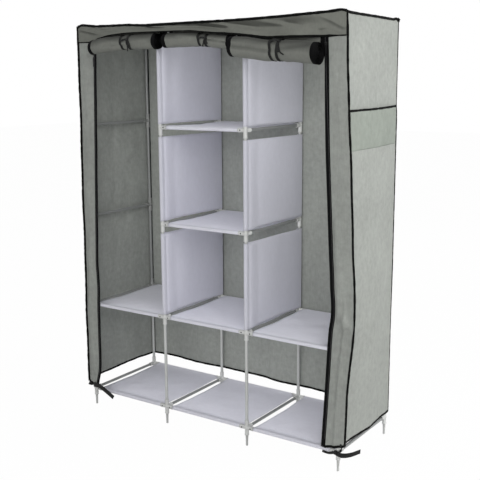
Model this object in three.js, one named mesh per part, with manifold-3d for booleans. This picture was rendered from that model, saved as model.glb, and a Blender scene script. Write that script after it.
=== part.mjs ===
// Portable cloth wardrobe: a push-fit frame of thin tubes with three columns, cloth
// shelves and dividers, and a zipped cloth cover whose three doors are rolled up and tied.
// Millimetres, +X to the right, -Y to the front, +Z up, origin on the floor under the middle.
import * as THREE from 'three';
import { mergeVertices } from 'three/addons/utils/BufferGeometryUtils.js';
import Module from 'manifold-3d';

const wasm = await Module();
wasm.setup();

// Driving dimensions of the frame
const columnPitch = 430;
const frameDepth = 425;
const footHeight = 80;
const levelPitch = 413;
const tubeRadius = 6.5;
const tubeWall = 0.8;

// Plastic connectors and feet
const hubLip = 1;
const socketWall = 2.15;
const socketReach = 32;
const socketFloor = 12;
const socketClearance = 0.35;
const footTopRadius = 6.2;
const footTipRadius = 4.5;

// Cloth thicknesses and the air between pieces
const coverThickness = 1.2;
const liningThickness = 1.5;
const seamGap = 0.3;
const coverClearance = 0.35;
const overrun = 2;

// Shelves and dividers
const sleeveWall = 1;
const sleeveClearance = 0.45;
const sleeveEndGap = 3;
const shelfLift = 4;
const shelfSag = 7;
const shelfLeftClearance = 14;
const shelfRightClearance = 0.5;
const dividerFootGap = 14;
const dividerHeadGap = 40;
const dividerBow = 3;

// Cover: how far each hem rises over the lowest tubes, the front strips and the way the
// loose cloth bellies out
const frontHemOuterRise = 32;
const frontHemInnerRise = 10;
const leftHemFrontRise = 37;
const leftHemBackRise = 51;
const rightHemFrontRise = 45;
const rightHemBackRise = 24;
const backHemWave = 2.5;
const leftZipInset = 94;
const leftZipDrift = 57;
const rightZipInset = 89;
const leftFlare = 20;
const rightBelly = 51;
const rightBellyHeight = 750;
const rightBellyFoot = 13;
const rightBellyRound = 70;
const packingRidge = 5;
const backFold = 6;
const roofSag = 2.5;
const stripFold = 4;

// Valance over the rolled doors
const valanceGap = 0.4;
const valanceDepth = 80;
const valanceDrape = 30;
const valanceFlatEnd = 70;
const valanceSmoothing = 16;
// Each pair: share of the cover's width from the left, share of the depth hanging there
const valanceHemShares = [[0, 0.84], [0.067, 0.84], [0.08, 0.71], [0.166, 0.58], [0.243, 0.5], [0.407, 0.51],
  [0.503, 0.53], [0.578, 0.66], [0.636, 0.74], [0.703, 0.86], [0.764, 0.99], [0.926, 0.96], [1, 0.96]];

// Rolled doors, one to a column: each end's place past the column's left and right post, how
// far the right end droops, the radius at each end and the share of the length where it is tied
const leftRoll = { start: 99, end: 33, droop: 0, fromRadius: 31, toRadius: 32, tieShare: 0.5 };
const centreRoll = { start: 69, end: -35, droop: 0, fromRadius: 30, toRadius: 26, tieShare: 0.564 };
const rightRoll = { start: -25, end: -85, droop: 19, fromRadius: 41, toRadius: 41, tieShare: 0.543 };
const rollLap = 3;
const rollWaist = 2.5;
const headerClearance = 0.4;

// Ties round the rolled doors
const ribbonWidth = 8;
const ribbonThickness = 1;
const ribbonSpacing = 38;
const ribbonGap = 0.35;
const knotWidth = 14;
const knotHeight = 9;
const knotDepth = 5;
const tailLength = 30;
const tailSpread = 16;

// Pocket on the right side: how far its mouth lies below the walls' top, and its height
const pocketDrop = 340.5;
const pocketHeight = 152;
const pocketInset = 8;
const pocketGape = 10;
const pocketSeamGap = 0.7;

// Zip sliders with their pull tabs: how far each hangs below the walls' top, and its size
const leftSliderDrop = 136.5;
const rightSliderDrop = 102.5;
const sliderWidth = 10;
const sliderLength = 13;
const sliderPlate = 1.4;
const sliderGrip = 7;
const sliderClearance = 0.35;
const archWidth = 3;
const archOpening = 4;
const archRise = 2.2;
const archBar = 1.2;
const tabWidth = 9;
const tabLength = 34;
const tabThickness = 1.4;
const tabHoleWidth = 4.2;
const tabHoleLength = 4.6;

// Counts
const columnCount = 3;
const levelCount = 5;
const tubeSides = 8;
const rollSides = 16;

// Places worked out from the sizes above
const halfDepth = frameDepth / 2;
const postPlaces = Array.from({ length: columnCount + 1 }, (_, i) => (i - columnCount / 2) * columnPitch);
const levels = Array.from({ length: levelCount }, (_, i) => footHeight + i * levelPitch);
const [floorLevel, lowLevel, middleLevel, highLevel, topLevel] = levels;
const frameHalfWidth = postPlaces[columnCount];
const boreRadius = tubeRadius + socketClearance;
const socketRadius = boreRadius + socketWall;
const hubHalf = socketRadius + hubLip;
const dividerSleeveRadius = socketRadius + sleeveClearance + sleeveWall;
const frameSkin = Math.max(hubHalf, dividerSleeveRadius) + coverClearance;
const shelfLeftGap = hubHalf + shelfLeftClearance;
const shelfRightGap = hubHalf + shelfRightClearance;
const coverInnerX = frameHalfWidth + frameSkin;
const coverInnerY = halfDepth + frameSkin;
const coverOuterX = coverInnerX + coverThickness;
const coverOuterY = coverInnerY + coverThickness;
const roofUnder = topLevel + frameSkin;
const wallTop = roofUnder - seamGap;
const tubeInset = socketFloor + seamGap;
const railTube = columnPitch - 2 * tubeInset;
const frontHemOuter = floorLevel + frontHemOuterRise;
const frontHemInner = floorLevel + frontHemInnerRise;
const leftHemFront = floorLevel + leftHemFrontRise;
const leftHemBack = floorLevel + leftHemBackRise;
const rightHemFront = floorLevel + rightHemFrontRise;
const rightHemBack = floorLevel + rightHemBackRise;

const materials = {
  paintedTube: { color: 0xb4b7b4, roughness: 0.35, metalness: 0.3 },
  whiteCloth: { color: 0xc9c9d0, roughness: 0.9, metalness: 0 },
  coverCloth: { color: 0x7c7f79, roughness: 0.92, metalness: 0 },
  pocketCloth: { color: 0x727870, roughness: 0.92, metalness: 0 },
  blackRibbon: { color: 0x151614, roughness: 0.8, metalness: 0 },
  zipMetal: { color: 0x1c1c1c, roughness: 0.4, metalness: 0.6 },
};

const wardrobe = new THREE.Group();

function add(name, geometry, finish, parent = wardrobe) {
  const mesh = new THREE.Mesh(geometry, new THREE.MeshStandardMaterial(materials[finish]));
  mesh.name = name;
  parent.add(mesh);
  return mesh;
}

// A solid from a closed geometry, for joining and cutting
function solidOf(geometry) {
  const bare = geometry.index ? geometry.clone() : geometry;
  bare.deleteAttribute('normal');
  bare.deleteAttribute('uv');
  const merged = mergeVertices(bare);
  const vertProperties = new Float32Array(merged.attributes.position.array);
  const triVerts = new Uint32Array(merged.index.array);
  return new wasm.Manifold(new wasm.Mesh({ numProp: 3, vertProperties, triVerts }));
}

function geometryOf(solid) {
  const mesh = solid.getMesh();
  const geometry = new THREE.BufferGeometry();
  geometry.setAttribute('position', new THREE.BufferAttribute(new Float32Array(mesh.vertProperties), 3));
  geometry.setIndex(new THREE.BufferAttribute(new Uint32Array(mesh.triVerts), 1));
  geometry.computeVertexNormals();
  return geometry;
}

const joined = (solids) => solids.reduce((whole, next) => whole.add(next));
const cutBy = (solid, cutters) => cutters.reduce((rest, cutter) => rest.subtract(cutter), solid);
const point = (x, y, z) => new THREE.Vector3(x, y, z);

// A straight round rod between two points, with its own radius at each end
function rod(from, to, radius, endRadius = radius) {
  const span = to.clone().sub(from);
  const geometry = new THREE.CylinderGeometry(endRadius, radius, span.length(), tubeSides);
  const turn = new THREE.Quaternion().setFromUnitVectors(new THREE.Vector3(0, 1, 0), span.normalize());
  geometry.applyQuaternion(turn);
  const middle = from.clone().add(to).multiplyScalar(1 / 2);
  geometry.translate(middle.x, middle.y, middle.z);
  return solidOf(geometry);
}

// A square block round a centre
function block(centre, half) {
  const geometry = new THREE.BoxGeometry(2 * half, 2 * half, 2 * half);
  geometry.translate(centre.x, centre.y, centre.z);
  return solidOf(geometry);
}

// A closed skin over a grid of points: front layer, back layer and the rim between them
function skin(front, back) {
  const rows = front.length;
  const columns = front[0].length;
  const positions = [...front.flat(), ...back.flat()].flatMap((p) => [p.x, p.y, p.z]);
  const faces = [];
  const at = (layer, row, column) => (layer * rows + row) * columns + column;
  const quad = (a, b, c, d) => faces.push(a, b, c, a, c, d);
  for (let row = 0; row < rows - 1; row += 1) {
    for (let column = 0; column < columns - 1; column += 1) {
      quad(at(0, row, column), at(0, row, column + 1), at(0, row + 1, column + 1), at(0, row + 1, column));
      quad(at(1, row, column), at(1, row + 1, column), at(1, row + 1, column + 1), at(1, row, column + 1));
    }
  }
  for (let row = 0; row < rows - 1; row += 1) {
    quad(at(0, row, 0), at(0, row + 1, 0), at(1, row + 1, 0), at(1, row, 0));
    const last = columns - 1;
    quad(at(0, row, last), at(1, row, last), at(1, row + 1, last), at(0, row + 1, last));
  }
  for (let column = 0; column < columns - 1; column += 1) {
    quad(at(0, 0, column), at(1, 0, column), at(1, 0, column + 1), at(0, 0, column + 1));
    const last = rows - 1;
    quad(at(0, last, column), at(0, last, column + 1), at(1, last, column + 1), at(1, last, column));
  }
  return facingOut(positions, faces);
}

// The geometry of a closed mesh, turned inside out if its volume comes out negative
function facingOut(positions, faces) {
  let volume = 0;
  const corner = (i) => new THREE.Vector3().fromArray(positions, faces[i] * 3);
  for (let i = 0; i < faces.length; i += 3) {
    volume += corner(i).dot(corner(i + 1).cross(corner(i + 2)));
  }
  const index = volume > 0 ? faces : faces.toReversed();
  const geometry = new THREE.BufferGeometry();
  geometry.setAttribute('position', new THREE.Float32BufferAttribute(positions, 3));
  geometry.setIndex(index);
  geometry.computeVertexNormals();
  return geometry;
}

// A cloth panel: middle surface place(s, t) of two shares, offset both ways along `across`
function cloth(place, alongCount, upCount, thickness, across) {
  const layer = (side) => Array.from({ length: alongCount + 1 }, (_, i) =>
    Array.from({ length: upCount + 1 }, (__, j) =>
      place(i / alongCount, j / upCount).addScaledVector(across, (side * thickness) / 2)));
  return skin(layer(1), layer(-1));
}

// A solid lofted through equal rings of points, with its two ends closed by the ring's own outline
function loft(rings, outline) {
  const sides = outline.length;
  const positions = rings.flat().flatMap((p) => [p.x, p.y, p.z]);
  const faces = [];
  for (let ring = 0; ring < rings.length - 1; ring += 1) {
    for (let side = 0; side < sides; side += 1) {
      const next = (side + 1) % sides;
      const a = ring * sides + side;
      const b = ring * sides + next;
      faces.push(a, b, b + sides, a, b + sides, a + sides);
    }
  }
  const lastRing = (rings.length - 1) * sides;
  for (const [a, b, c] of THREE.ShapeUtils.triangulateShape(outline, [])) {
    const [first, third] = THREE.ShapeUtils.isClockWise(outline) ? [a, c] : [c, a];
    faces.push(first, b, third);
    faces.push(lastRing + third, lastRing + b, lastRing + first);
  }
  return facingOut(positions, faces);
}

const mix = (from, to, share) => from + (to - from) * share;
const eased = (share) => {
  const held = Math.min(Math.max(share, 0), 1);
  return held * held * (3 - 2 * held);
};
const wave = (share, count) => 0.5 - 0.5 * Math.cos(2 * Math.PI * count * share);

// Side frames: two posts, five depth tubes, their connectors and two feet, pressed together
function sideFrame(postX, armsAt, railSide) {
  const parts = [];
  const bores = [];
  for (const postY of [-halfDepth, halfDepth]) {
    const inward = -Math.sign(postY);
    parts.push(rod(point(postX, postY, footHeight - socketFloor), point(postX, postY, topLevel), tubeRadius));
    const footTop = footHeight - socketReach + socketFloor;
    parts.push(rod(point(postX, postY, 0), point(postX, postY, footTop), footTipRadius, footTopRadius));
    levels.forEach((level, index) => {
      const upperReach = index < levelCount - 1 ? socketReach : 0;
      const hub = point(postX, postY, level);
      const raised = (height) => point(postX, postY, level + height);
      parts.push(block(hub, hubHalf));
      parts.push(rod(raised(-socketReach), raised(upperReach), socketRadius));
      parts.push(rod(hub, point(postX, postY + inward * socketReach, level), socketRadius));
      for (const side of armsAt(index)) {
        const along = (reach) => point(postX + side * reach, postY, level);
        parts.push(rod(hub, along(socketReach), socketRadius));
        bores.push(rod(along(socketFloor), along(socketReach + overrun), boreRadius));
      }
    });
  }
  for (const level of levels) {
    parts.push(rod(point(postX, -halfDepth, level), point(postX, halfDepth, level), tubeRadius));
  }
  const railHub = (reach) => point(postX + railSide * reach, 0, topLevel);
  parts.push(block(railHub(0), hubHalf));
  parts.push(rod(railHub(0), railHub(socketReach), socketRadius));
  bores.push(rod(railHub(socketFloor), railHub(socketReach + overrun), boreRadius));
  return geometryOf(cutBy(joined(parts), bores));
}

const isShelfLevel = (index) => index === 0 || index === 1 || index === levelCount - 1;
const frameNames = ['left', 'middle_left', 'middle_right', 'right'];
frameNames.forEach((side, index) => {
  const outward = index < 2 ? -1 : 1;
  const isOuter = index === 0 || index === columnCount;
  const armsAt = (level) => {
    if (isOuter) return isShelfLevel(level) ? [-outward] : [];
    return isShelfLevel(level) ? [-1, 1] : [-outward];
  };
  const railSide = isOuter ? -outward : outward;
  add(`side_frame_${side}`, sideFrame(postPlaces[index], armsAt, railSide), 'paintedTube');
});

// Width tubes and hanging rails: thin-walled tubes pushed into the connectors' sockets
function crossTube(column, tubeY, level) {
  const start = postPlaces[column] + tubeInset;
  const tube = (radius, extra) => rod(
    point(start - extra, tubeY, level), point(start + railTube + extra, tubeY, level), radius);
  return geometryOf(tube(tubeRadius, 0).subtract(tube(tubeRadius - tubeWall, overrun)));
}

const columnNames = ['left', 'centre', 'right'];
columnNames.forEach((column, index) => {
  levels.forEach((level, levelIndex) => {
    if (index !== 1 && !isShelfLevel(levelIndex)) return;
    add(`front_tube_${column}_${levelIndex + 1}`, crossTube(index, -halfDepth, level), 'paintedTube');
    add(`back_tube_${column}_${levelIndex + 1}`, crossTube(index, halfDepth, level), 'paintedTube');
  });
  if (index !== 1) add(`hanging_rail_${column}`, crossTube(index, 0, topLevel), 'paintedTube');
});

// Shelves: a sagging sheet with a sleeve sewn along the front and the back tube
function shelf(column, level) {
  const leftPost = postPlaces[column];
  const rightPost = postPlaces[column + 1];
  const sleeveFrom = leftPost + socketReach + sleeveEndGap;
  const sleeveTo = rightPost - socketReach - sleeveEndGap;
  const place = (s, t) => point(
    mix(leftPost + shelfLeftGap, rightPost - shelfRightGap, s),
    mix(-halfDepth, halfDepth, t),
    level + shelfLift - shelfSag * Math.sin(Math.PI * t) ** 2);
  const parts = [solidOf(cloth(place, 1, 6, liningThickness, point(0, 0, 1)))];
  const cuts = [];
  for (const tubeY of [-halfDepth, halfDepth]) {
    const along = (x) => point(x, tubeY, level);
    cuts.push(rod(along(leftPost), along(sleeveFrom), socketRadius + sleeveClearance + seamGap));
    cuts.push(rod(along(sleeveTo), along(rightPost), socketRadius + sleeveClearance + seamGap));
    parts.push(rod(along(sleeveFrom), along(sleeveTo), tubeRadius + sleeveClearance + sleeveWall));
    cuts.push(rod(along(leftPost), along(rightPost), tubeRadius + sleeveClearance));
  }
  return geometryOf(cutBy(joined(parts), cuts));
}

columnNames.forEach((column, index) => {
  add(`shelf_${column}_1`, shelf(index, floorLevel), 'whiteCloth');
  add(`shelf_${column}_2`, shelf(index, lowLevel), 'whiteCloth');
});
add('shelf_centre_3', shelf(1, middleLevel), 'whiteCloth');
add('shelf_centre_4', shelf(1, highLevel), 'whiteCloth');

// Dividers: a sheet between a front and a back post, with a sleeve slipped over each
function divider(postX, level, bowSide) {
  const foot = level + dividerFootGap;
  const head = level + levelPitch - dividerHeadGap;
  const place = (s, t) => point(
    postX + bowSide * dividerBow * Math.sin(Math.PI * s) ** 2,
    mix(-halfDepth, halfDepth, s),
    mix(foot, head, t));
  const parts = [solidOf(cloth(place, 6, 1, liningThickness, point(1, 0, 0)))];
  const cuts = [];
  for (const postY of [-halfDepth, halfDepth]) {
    const at = (z) => point(postX, postY, z);
    parts.push(rod(at(foot), at(head), dividerSleeveRadius));
    cuts.push(rod(at(foot - overrun), at(head + overrun), socketRadius + sleeveClearance));
  }
  return geometryOf(cutBy(joined(parts), cuts));
}

[lowLevel, middleLevel, highLevel].forEach((level, index) => {
  add(`divider_left_${index + 1}`, divider(postPlaces[1], level, -1), 'whiteCloth');
  add(`divider_right_${index + 1}`, divider(postPlaces[2], level, -1), 'whiteCloth');
});

// How far the right side bellies out: straight down to the knee, a rounded knee, straight back in
function rightBow(z) {
  const upperSlope = rightBelly / (wallTop - rightBellyHeight);
  const lowerSlope = (rightBelly - rightBellyFoot) / (rightBellyHeight - frontHemInner);
  const below = rightBellyHeight - z;
  const peak = rightBelly + upperSlope * below;
  if (below <= -rightBellyRound) return peak;
  const turned = Math.min(below + rightBellyRound, 2 * rightBellyRound);
  const rounding = (turned * turned) / (4 * rightBellyRound);
  const past = Math.max(below - rightBellyRound, 0);
  return peak - (upperSlope + lowerSlope) * (rounding + past);
}

const leftFlareAt = (z) => leftFlare * Math.min((wallTop - z) / (wallTop - leftHemBack), 1);
const leftEdge = (z) => -coverOuterX - leftFlareAt(z);
const rightEdge = (z) => coverOuterX + rightBow(z);
const leftZip = (z) =>
  -coverOuterX + leftZipInset - (leftZipDrift * (wallTop - z)) / (wallTop - frontHemInner);
const rightZip = (z) => coverOuterX - rightZipInset + rightBow(z);

// Front strips: from the corner of the cover to the zip, hanging in the front plane
const stripY = -coverInnerY - coverThickness / 2;
function frontStrip(edge, zip) {
  const flatShare = 0.3;
  const place = (s, t) => {
    const hem = mix(frontHemOuter, frontHemInner, s);
    const z = mix(hem, wallTop, t);
    const fold = stripFold * wave(Math.min(s / (1 - flatShare), 1), 1) * (1 - t);
    return point(mix(edge(z), zip(z), s), stripY - fold, z);
  };
  return cloth(place, 4, 14, coverThickness, point(0, 1, 0));
}
add('cover_strip_left', frontStrip(leftEdge, leftZip), 'coverCloth');
add('cover_strip_right', frontStrip(rightEdge, rightZip), 'coverCloth');

// Side walls: flat but for the belly and the ridge that packing leaves down the middle
const ridge = (s) => packingRidge * (1 - Math.abs(2 * s - 1));
const wallFront = -coverInnerY + seamGap;
const wallBack = coverInnerY - seamGap;
function rightWallX(s, z) {
  return coverInnerX + coverThickness / 2 + rightBow(z) * (1 - s) + ridge(s);
}
function leftWallX(s, z) {
  return -coverInnerX - coverThickness / 2 - leftFlareAt(z) * (1 - s) - ridge(s);
}
function sideWall(wallX, frontHem, backHem) {
  const place = (s, t) => {
    const z = mix(mix(frontHem, backHem, s), wallTop, t);
    return point(wallX(s, z), mix(wallFront, wallBack, s), z);
  };
  return cloth(place, 4, 14, coverThickness, point(1, 0, 0));
}
add('cover_side_left', sideWall(leftWallX, leftHemFront, leftHemBack), 'coverCloth');
add('cover_side_right', sideWall(rightWallX, rightHemFront, rightHemBack), 'coverCloth');

// Back wall: hangs in shallow folds that fade out towards the roof and the side seams
function backWall() {
  const foldCount = 5;
  const place = (s, t) => {
    const hem = mix(leftHemBack, rightHemBack, s ** 3) + backHemWave * Math.sin(2 * Math.PI * 3 * s);
    const z = mix(hem, wallTop, t);
    const fold = backFold * wave(s, foldCount) * (1 - t * t);
    return point(mix(-coverOuterX, coverOuterX, s), coverInnerY + coverThickness / 2 + fold, z);
  };
  return cloth(place, 30, 4, coverThickness, point(0, 1, 0));
}
add('cover_back', backWall(), 'coverCloth');

// Valance: hangs from the roof's front edge and is pushed forward by the rolled doors
const valanceY = -coverOuterY - valanceGap - coverThickness / 2;
function hemShareAt(share) {
  const next = valanceHemShares.findIndex(([place], i) => i > 0 && place >= share);
  const [from, deepFrom] = valanceHemShares[next - 1];
  const [to, deepTo] = valanceHemShares[next];
  return mix(deepFrom, deepTo, (share - from) / (to - from));
}
function valanceHem(x) {
  const shareOf = (place) => Math.min(Math.max((place + coverOuterX) / (2 * coverOuterX), 0), 1);
  const near = [x - valanceSmoothing, x, x + valanceSmoothing].map((place) => hemShareAt(shareOf(place)));
  return wallTop - (valanceDepth * (near[0] + near[1] + near[2])) / near.length;
}
function valance() {
  const place = (s, t) => {
    const x = mix(-coverOuterX, coverOuterX, s);
    const flat = Math.min(x + coverOuterX, coverOuterX - x) - valanceFlatEnd;
    const forward = valanceDrape * eased(flat / valanceFlatEnd) * t ** 1.5;
    return point(x, valanceY - forward, mix(wallTop, valanceHem(x), t));
  };
  return cloth(place, 30, 4, coverThickness, point(0, 1, 0));
}
add('cover_valance', valance(), 'coverCloth');

// Roof: rests on the top connectors and sags a little over each column
function roof() {
  const front = valanceY - coverThickness / 2;
  const place = (s, t) => {
    const sag = roofSag * wave(s, columnCount) * Math.sin(Math.PI * t) ** 2;
    const z = roofUnder + coverThickness / 2 - sag;
    return point(mix(-coverOuterX, coverOuterX, s), mix(front, coverOuterY, t), z);
  };
  return cloth(place, 18, 4, coverThickness, point(0, 0, 1));
}
add('cover_roof', roof(), 'coverCloth');

// A rolled door: its header hangs from the roof behind the valance, and the rest is wound
// forward and up. Angles run from the back of the roll, under it, to its front and top.
const lastTurn = (11 * Math.PI) / 6;
const backOfRoll = -coverInnerY;
const tieAllowance = ribbonGap + ribbonThickness + seamGap - rollLap / 2;
const rollShare = (roll, x) => (x - roll.from) / (roll.to - roll.from);
const fullRadius = (roll, x) => mix(roll.fromRadius, roll.toRadius, rollShare(roll, x));
const rollHeight = (roll, x) =>
  valanceHem(x) - tieAllowance - fullRadius(roll, x) - roll.droop * rollShare(roll, x) ** 3;
function rollPoint(roll, x, angle, outward) {
  const radius = fullRadius(roll, x);
  const fromTie = rollShare(roll, x) - roll.tieShare;
  const waist = rollWaist * Math.exp(-((fromTie * 6) ** 2)) * eased(angle / Math.PI);
  const reach = radius - rollLap * (angle / lastTurn) - waist + outward;
  const y = backOfRoll - radius + reach * Math.cos(angle);
  return point(x, y, rollHeight(roll, x) - reach * Math.sin(angle));
}
const turnAngles = Array.from({ length: rollSides + 1 }, (_, i) => (lastTurn * i) / rollSides);
const ribbonEdges = (roll) => [-1, 1].flatMap((side) => {
  const middleX = mix(roll.from, roll.to, roll.tieShare) + (side * ribbonSpacing) / 2;
  return [middleX - ribbonWidth / 2, middleX + ribbonWidth / 2];
});
function rolledDoor(roll) {
  const edges = ribbonEdges(roll);
  const before = [0, 1 / 3, 2 / 3].map((share) => mix(roll.from, edges[0], share));
  const after = [1 / 3, 2 / 3, 1].map((share) => mix(edges[edges.length - 1], roll.to, share));
  const rings = [...before, ...edges, ...after].map((x) => {
    const headerFront = backOfRoll - coverThickness;
    return [
      point(x, headerFront, wallTop - headerClearance),
      point(x, backOfRoll, wallTop - headerClearance),
      ...turnAngles.map((angle) => rollPoint(roll, x, angle, 0)),
      point(x, headerFront, rollHeight(roll, x) + rollLap * 3),
    ];
  });
  const outline = rings[0].map((p) => new THREE.Vector2(p.y, p.z));
  return loft(rings, outline);
}

// A door's tie: two ribbons round the roll, the bow's knot between them and two short tails
function ribbonRound(roll, left, right, angles, lift) {
  const rings = angles.map((angle) => {
    const at = (x, out) => rollPoint(roll, x, angle, ribbonGap + lift + out);
    return [at(left, 0), at(right, 0), at(right, ribbonThickness), at(left, ribbonThickness)];
  });
  const width = right - left;
  const outline = [[0, 0], [width, 0], [width, ribbonThickness], [0, ribbonThickness]];
  return solidOf(loft(rings, outline.map(([x, y]) => new THREE.Vector2(x, y))));
}
function doorTie(roll) {
  const [leftFrom, leftTo, rightFrom, rightTo] = ribbonEdges(roll);
  const wrapped = turnAngles.slice(1, -2);
  const knotAngle = 1.2 * Math.PI;
  const barHalf = knotHeight / roll.fromRadius / 3;
  const bar = [-barHalf, 0, barHalf].map((step) => knotAngle + step);
  const knotX = (rightFrom + rightTo) / 2;
  const knot = rollPoint(roll, knotX, knotAngle, ribbonGap + (ribbonThickness + knotDepth) / 2);
  const box = new THREE.BoxGeometry(knotWidth, knotDepth, knotHeight);
  box.rotateX(-knotAngle);
  box.translate(knot.x, knot.y, knot.z);
  const parts = [
    ribbonRound(roll, leftFrom, leftTo, wrapped, 0),
    ribbonRound(roll, rightFrom, rightTo, wrapped, 0),
    ribbonRound(roll, (leftFrom + leftTo) / 2, knotX, bar, ribbonThickness / 2),
    solidOf(box),
  ];
  const frontOfRoll = backOfRoll - 2 * fullRadius(roll, knotX);
  for (const side of [0, 1]) {
    const tip = point(knot.x + tailSpread * (side + 1 / 2), frontOfRoll - knotDepth, knot.z - tailLength);
    parts.push(rod(knot, tip, ribbonThickness * 1.5));
  }
  return geometryOf(joined(parts));
}

[leftRoll, centreRoll, rightRoll].forEach((door, index) => {
  const roll = { ...door, from: postPlaces[index] + door.start, to: postPlaces[index + 1] + door.end };
  add(`door_roll_${columnNames[index]}`, rolledDoor(roll), 'coverCloth');
  add(`door_tie_${columnNames[index]}`, doorTie(roll), 'blackRibbon');
});

// Pocket: a second layer on the right wall, sewn at the bottom and both sides, open at the top
function sidePocket() {
  const mouth = wallTop - pocketDrop;
  const place = (s, t) => {
    const z = mix(mouth - pocketHeight, mouth, t);
    const y = mix(wallFront + pocketInset, wallBack - pocketInset, s);
    const wallShare = (y - wallFront) / (wallBack - wallFront);
    const open = Math.sin((Math.PI / 2) * t) * (1 - (2 * s - 1) ** 4);
    const offset = coverThickness + pocketSeamGap + pocketGape * open;
    return point(rightWallX(wallShare, z) + offset, y, z);
  };
  return cloth(place, 10, 4, coverThickness, point(1, 0, 0));
}
add('side_pocket', sidePocket(), 'pocketCloth');

// Zip sliders ride on the strips' inner edges; each carries a pull tab on a small arch.
// In their own frame +Z runs up the zip, +X towards the door and -Y away from the wardrobe.
function sliderBody(stripSide) {
  const halfThickness = coverThickness / 2 + sliderClearance;
  const outer = halfThickness + sliderPlate;
  const grip = stripSide * sliderGrip;
  const far = -stripSide * (sliderWidth - sliderGrip);
  const floor = -stripSide * sliderClearance * 2;
  const outline = [[grip, outer], [grip, halfThickness], [floor, halfThickness], [floor, -halfThickness],
    [grip, -halfThickness], [grip, -outer], [far, -outer], [far, outer]];
  const shape = new THREE.Shape(outline.map(([x, y]) => new THREE.Vector2(x, y)));
  const body = new THREE.ExtrudeGeometry(shape, { depth: sliderLength, bevelEnabled: false });
  body.translate(0, 0, -sliderLength / 2);
  const centreX = (grip + far) / 2;
  const half = archOpening / 2;
  const legOuter = half + archBar;
  const reach = archRise + archBar;
  const root = -sliderPlate / 2;
  const staple = [[-legOuter, root], [-legOuter, reach], [legOuter, reach], [legOuter, root],
    [half, root], [half, archRise], [-half, archRise], [-half, root]];
  const archShape = new THREE.Shape(staple.map(([x, y]) => new THREE.Vector2(x, y)));
  const arch = new THREE.ExtrudeGeometry(archShape, { depth: archWidth, bevelEnabled: false });
  arch.translate(0, 0, -archWidth / 2);
  arch.rotateY(Math.PI / 2);
  arch.rotateX(Math.PI);
  arch.translate(centreX, -outer, 0);
  return { geometry: geometryOf(solidOf(body).add(solidOf(arch))), centreX, pinY: -outer - archRise / 2 };
}
function pullTab() {
  const bar = tabThickness / 2;
  const plate = new THREE.Shape([
    new THREE.Vector2(-tabWidth / 2, bar), new THREE.Vector2(tabWidth / 2, bar),
    new THREE.Vector2(tabWidth / 3, -tabLength), new THREE.Vector2(-tabWidth / 3, -tabLength)]);
  plate.holes.push(new THREE.Path([
    new THREE.Vector2(-tabHoleWidth / 2, -bar), new THREE.Vector2(-tabHoleWidth / 2, -tabHoleLength),
    new THREE.Vector2(tabHoleWidth / 2, -tabHoleLength), new THREE.Vector2(tabHoleWidth / 2, -bar)]));
  const geometry = new THREE.ExtrudeGeometry(plate, { depth: tabThickness, bevelEnabled: false });
  geometry.translate(0, 0, -tabThickness / 2);
  geometry.rotateX(Math.PI / 2);
  return geometryOf(solidOf(geometry));
}
function zip(side, zipAt, height, stripSide) {
  const below = height - sliderLength;
  const lean = Math.atan2(zipAt(height) - zipAt(below), sliderLength);
  const carrier = new THREE.Group();
  carrier.position.set(zipAt(height), stripY, height);
  carrier.rotation.y = lean;
  wardrobe.add(carrier);
  const slider = sliderBody(stripSide);
  add(`zip_slider_${side}`, slider.geometry, 'zipMetal', carrier);
  const tab = add(`pull_tab_${side}`, pullTab(), 'zipMetal', carrier);
  tab.position.set(slider.centreX, slider.pinY, 0);
}
zip('left', leftZip, wallTop - leftSliderDrop, -1);
zip('right', rightZip, wallTop - rightSliderDrop, 1);

// The origin is on the floor under the middle of everything
wardrobe.updateMatrixWorld(true);
const bounds = new THREE.Box3().setFromObject(wardrobe, true);
const middle = bounds.getCenter(new THREE.Vector3());
wardrobe.position.set(-middle.x, -middle.y, -bounds.min.z);

export default wardrobe;
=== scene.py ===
import math

import bmesh
import bpy
import numpy as np
from mathutils import Matrix, Vector


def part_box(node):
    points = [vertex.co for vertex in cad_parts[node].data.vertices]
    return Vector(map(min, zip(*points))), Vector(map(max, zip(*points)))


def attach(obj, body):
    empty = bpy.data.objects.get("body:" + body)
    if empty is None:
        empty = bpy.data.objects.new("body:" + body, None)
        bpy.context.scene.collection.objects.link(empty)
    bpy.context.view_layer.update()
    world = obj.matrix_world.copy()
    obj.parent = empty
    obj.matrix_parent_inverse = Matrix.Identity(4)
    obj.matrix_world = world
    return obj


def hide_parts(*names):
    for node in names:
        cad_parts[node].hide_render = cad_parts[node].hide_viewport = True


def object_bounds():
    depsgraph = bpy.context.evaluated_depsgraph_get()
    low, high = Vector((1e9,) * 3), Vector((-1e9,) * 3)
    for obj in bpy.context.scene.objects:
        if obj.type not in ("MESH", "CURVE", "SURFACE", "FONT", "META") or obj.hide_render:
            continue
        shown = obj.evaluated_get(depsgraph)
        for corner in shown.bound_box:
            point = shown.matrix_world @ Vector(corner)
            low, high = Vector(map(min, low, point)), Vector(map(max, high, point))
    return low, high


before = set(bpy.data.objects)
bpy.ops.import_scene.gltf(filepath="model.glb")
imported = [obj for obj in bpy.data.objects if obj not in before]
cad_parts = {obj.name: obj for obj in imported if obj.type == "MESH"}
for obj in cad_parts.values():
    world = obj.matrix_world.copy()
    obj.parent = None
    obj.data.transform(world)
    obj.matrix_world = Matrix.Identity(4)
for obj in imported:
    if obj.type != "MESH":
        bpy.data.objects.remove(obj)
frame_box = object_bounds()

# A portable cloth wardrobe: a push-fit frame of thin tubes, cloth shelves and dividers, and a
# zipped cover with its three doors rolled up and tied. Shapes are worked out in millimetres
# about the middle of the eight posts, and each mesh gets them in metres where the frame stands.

MM = 0.001
BODY = "wardrobe"

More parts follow.
